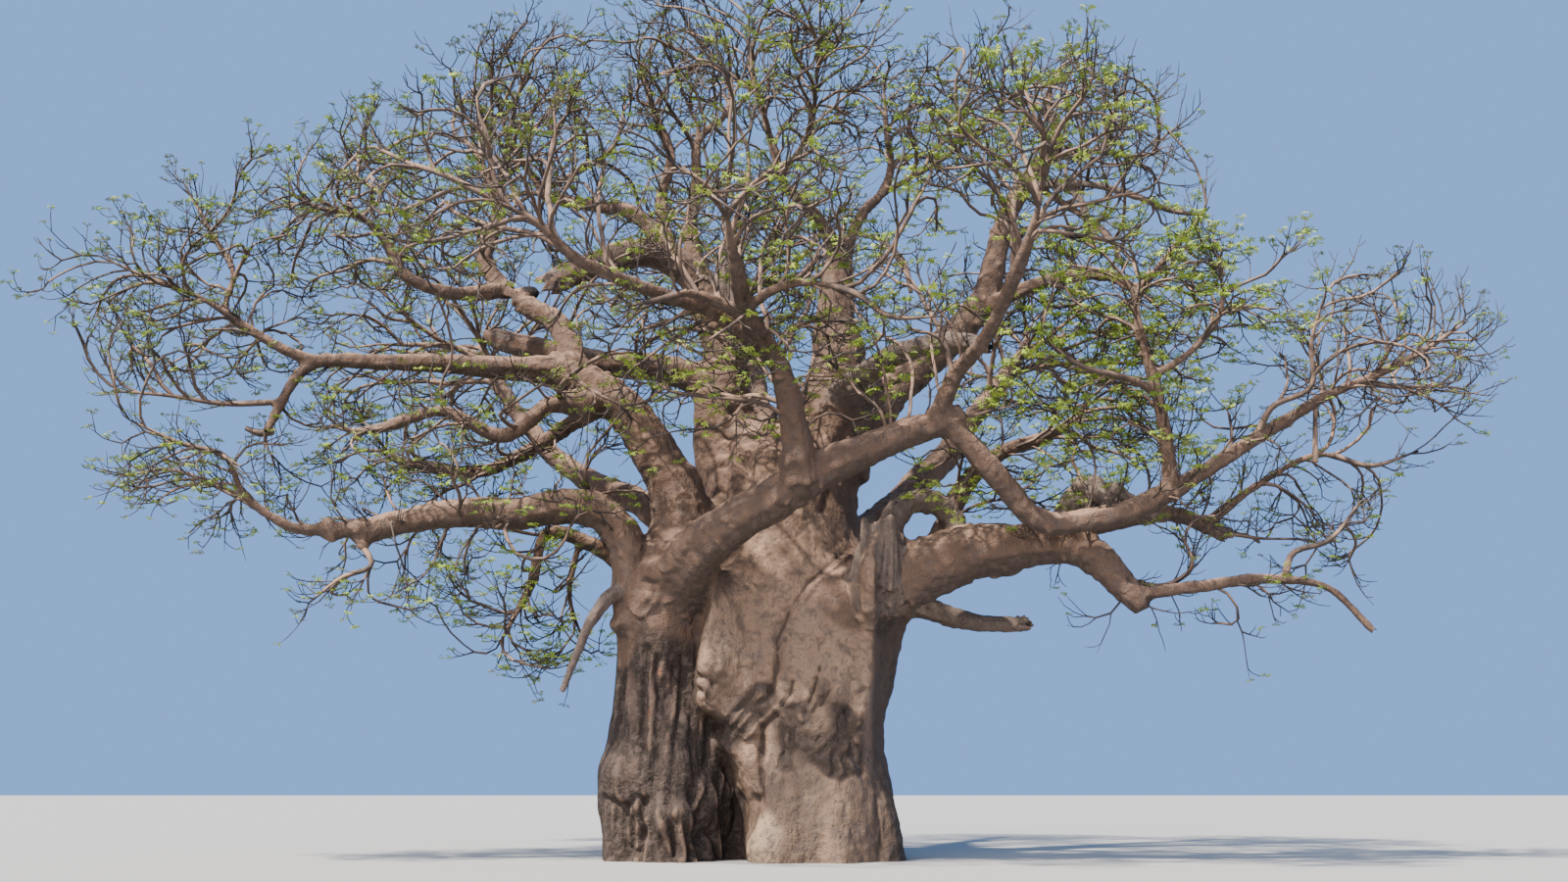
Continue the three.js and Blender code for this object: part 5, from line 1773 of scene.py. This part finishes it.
def limb_groups(limbs):
    """For each limb, the name of the bark's piece that it belongs to."""
    groups = []
    for limb in limbs:
        x, _, height = limb.place[-1]
        if limb.name.startswith(("dead", "splinter")):
            groups.append("dead_wood")
        elif x < BOUGHS_LEFT_OF:
            groups.append("bark_left_high_boughs" if height > HIGH_BOUGHS else "bark_left_low_boughs")
        elif x > BOUGHS_RIGHT_OF:
            groups.append("bark_right_boughs")
        else:
            groups.append("bark_middle_boughs")
    return groups


def dead_share(limbs, near):
    """1 on dead limbs and splinters, 0 on living wood."""
    dead = np.array([limb.name.startswith(("dead", "splinter")) for limb in limbs])
    return dead[near.limb] * near.share * (1 - ease(near.gap, *DEAD_REACH))


def groups_of_points(points, near, limbs):
    """The names of the bark's pieces, the number of each point's piece, and the nodes it stands for."""
    groups = limb_groups(limbs)
    names = ["bark_trunk", "bark_foot", *sorted(set(groups))]
    group_of_limb = np.array([names.index(group) for group in groups])
    on_limb = (near.share > 0.5) & (near.gap < LIMB_REACH)
    group = np.where(on_limb, group_of_limb[near.limb], points[:, 2] < FOOT_TOP)
    nodes = {name: [] for name in names}
    nodes["bark_trunk"] = nodes["bark_foot"] = ["trunk"]
    for limb, name in zip(limbs, groups):
        if limb.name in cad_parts:
            nodes[name].append(limb.name)
    return names, group, nodes


def show_wood(limbs):
    points, quads, near, depths = build_wood(limbs)
    normals = normals_of(points, quads)
    values = wood_values(points, normals, near, **depths)
    values["dead"] = dead_share(limbs, near)
    names, group, nodes = groups_of_points(points, near, limbs)
    quads = quads[(points[quads, 2] > 0).any(1)]
    points[:, 2] = np.maximum(points[:, 2], 0)
    material = bark_material()
    for number, name in enumerate(names):
        some, used, faces = only_used(points, quads[group[quads[:, 0]] == number])
        mesh = mesh_from(some, faces)
        for key, numbers in values.items():
            set_numbers(mesh, key, numbers[used])
        if name == "bark_foot":
            close_at_ground(mesh)
        mesh.shade_smooth()
        mesh.normals_split_custom_set_from_vertices(normals[used].tolist())
        add_piece(name, mesh, material, nodes[name])


def show_twigs(rings):
    radius = rings.radius[rings.spans].mean(1)
    middle = rings.place[rings.spans[:, 0]]
    kinds = {
        "branches": (radius >= THINNEST_BRANCH, branch_material("branches", BRANCH_LIGHT, BRANCH_DARK)),
        "twigs": (radius < THINNEST_BRANCH, branch_material("twigs", TWIG_LIGHT, TWIG_DARK)),
    }
    for kind, (chosen, material) in kinds.items():
        spans = rings.spans[chosen]
        sides = np.select([radius[chosen] >= least for least, _ in SIDES_BY_RADIUS],
                          [count for _, count in SIDES_BY_RADIUS])
        triangles = 2 * sides
        spans_order = np.argsort(middle[chosen][:, 0], kind="stable")
        filled = np.cumsum(triangles[spans_order]) // MOST_TRIANGLES
        for number in range(filled.max() + 1):
            some = spans_order[filled == number]
            points = []
            faces = []
            offset = 0
            for _, count in SIDES_BY_RADIUS:
                picked = some[sides[some] == count]
                if len(picked):
                    more_points, more_faces = rings.tubes(spans[picked], count)
                    points.append(more_points)
                    faces.append(more_faces + offset)
                    offset += len(more_points)
            mesh = mesh_from(np.vstack(points), np.vstack(faces))
            mesh.shade_smooth()
            add_piece(f"{kind}_{number + 1}", mesh, material, list(MASSES))


def add_floor():
    bpy.ops.mesh.primitive_plane_add(size=FLOOR_SIZE)
    floor = bpy.context.object
    floor.name = "floor"
    paint = Paint("floor", FLOOR_ROUGHNESS)
    paint.shader.inputs["Base Color"].default_value = (*FLOOR_COLOUR, 1)
    floor.data.materials.append(paint.material)


def add_lights():
    for name, from_where, strength, size, colour in LIGHTS:
        light = bpy.data.lights.new(name, "SUN")
        light.energy = strength
        light.angle = size
        light.color = colour
        lamp = bpy.data.objects.new(name, light)
        lamp.rotation_euler = Vector(from_where).to_track_quat("Z", "Y").to_euler()
        bpy.context.scene.collection.objects.link(lamp)


def add_sky():
    world = bpy.data.worlds.new("sky")
    world.use_nodes = True
    background = world.node_tree.nodes["Background"]
    background.inputs["Color"].default_value = (*SKY_COLOUR, 1)
    background.inputs["Strength"].default_value = SKY_STRENGTH
    bpy.context.scene.world = world


def add_camera():
    lens = bpy.data.cameras.new("camera")
    lens.lens = FOCAL_LENGTH
    lens.sensor_width = SENSOR_WIDTH
    lens.clip_end = 1000
    camera = bpy.data.objects.new("camera", lens)
    camera.location = CAMERA_PLACE
    camera.rotation_euler = (math.pi / 2 + CAMERA_TILT, 0, 0)
    bpy.context.scene.collection.objects.link(camera)
    bpy.context.scene.camera = camera


add_camera()
add_floor()
add_lights()
add_sky()
limbs = read_limbs()
show_wood(limbs)
rings, tips = grow_twigs(limbs)
show_twigs(rings)
build_leaves(tips)
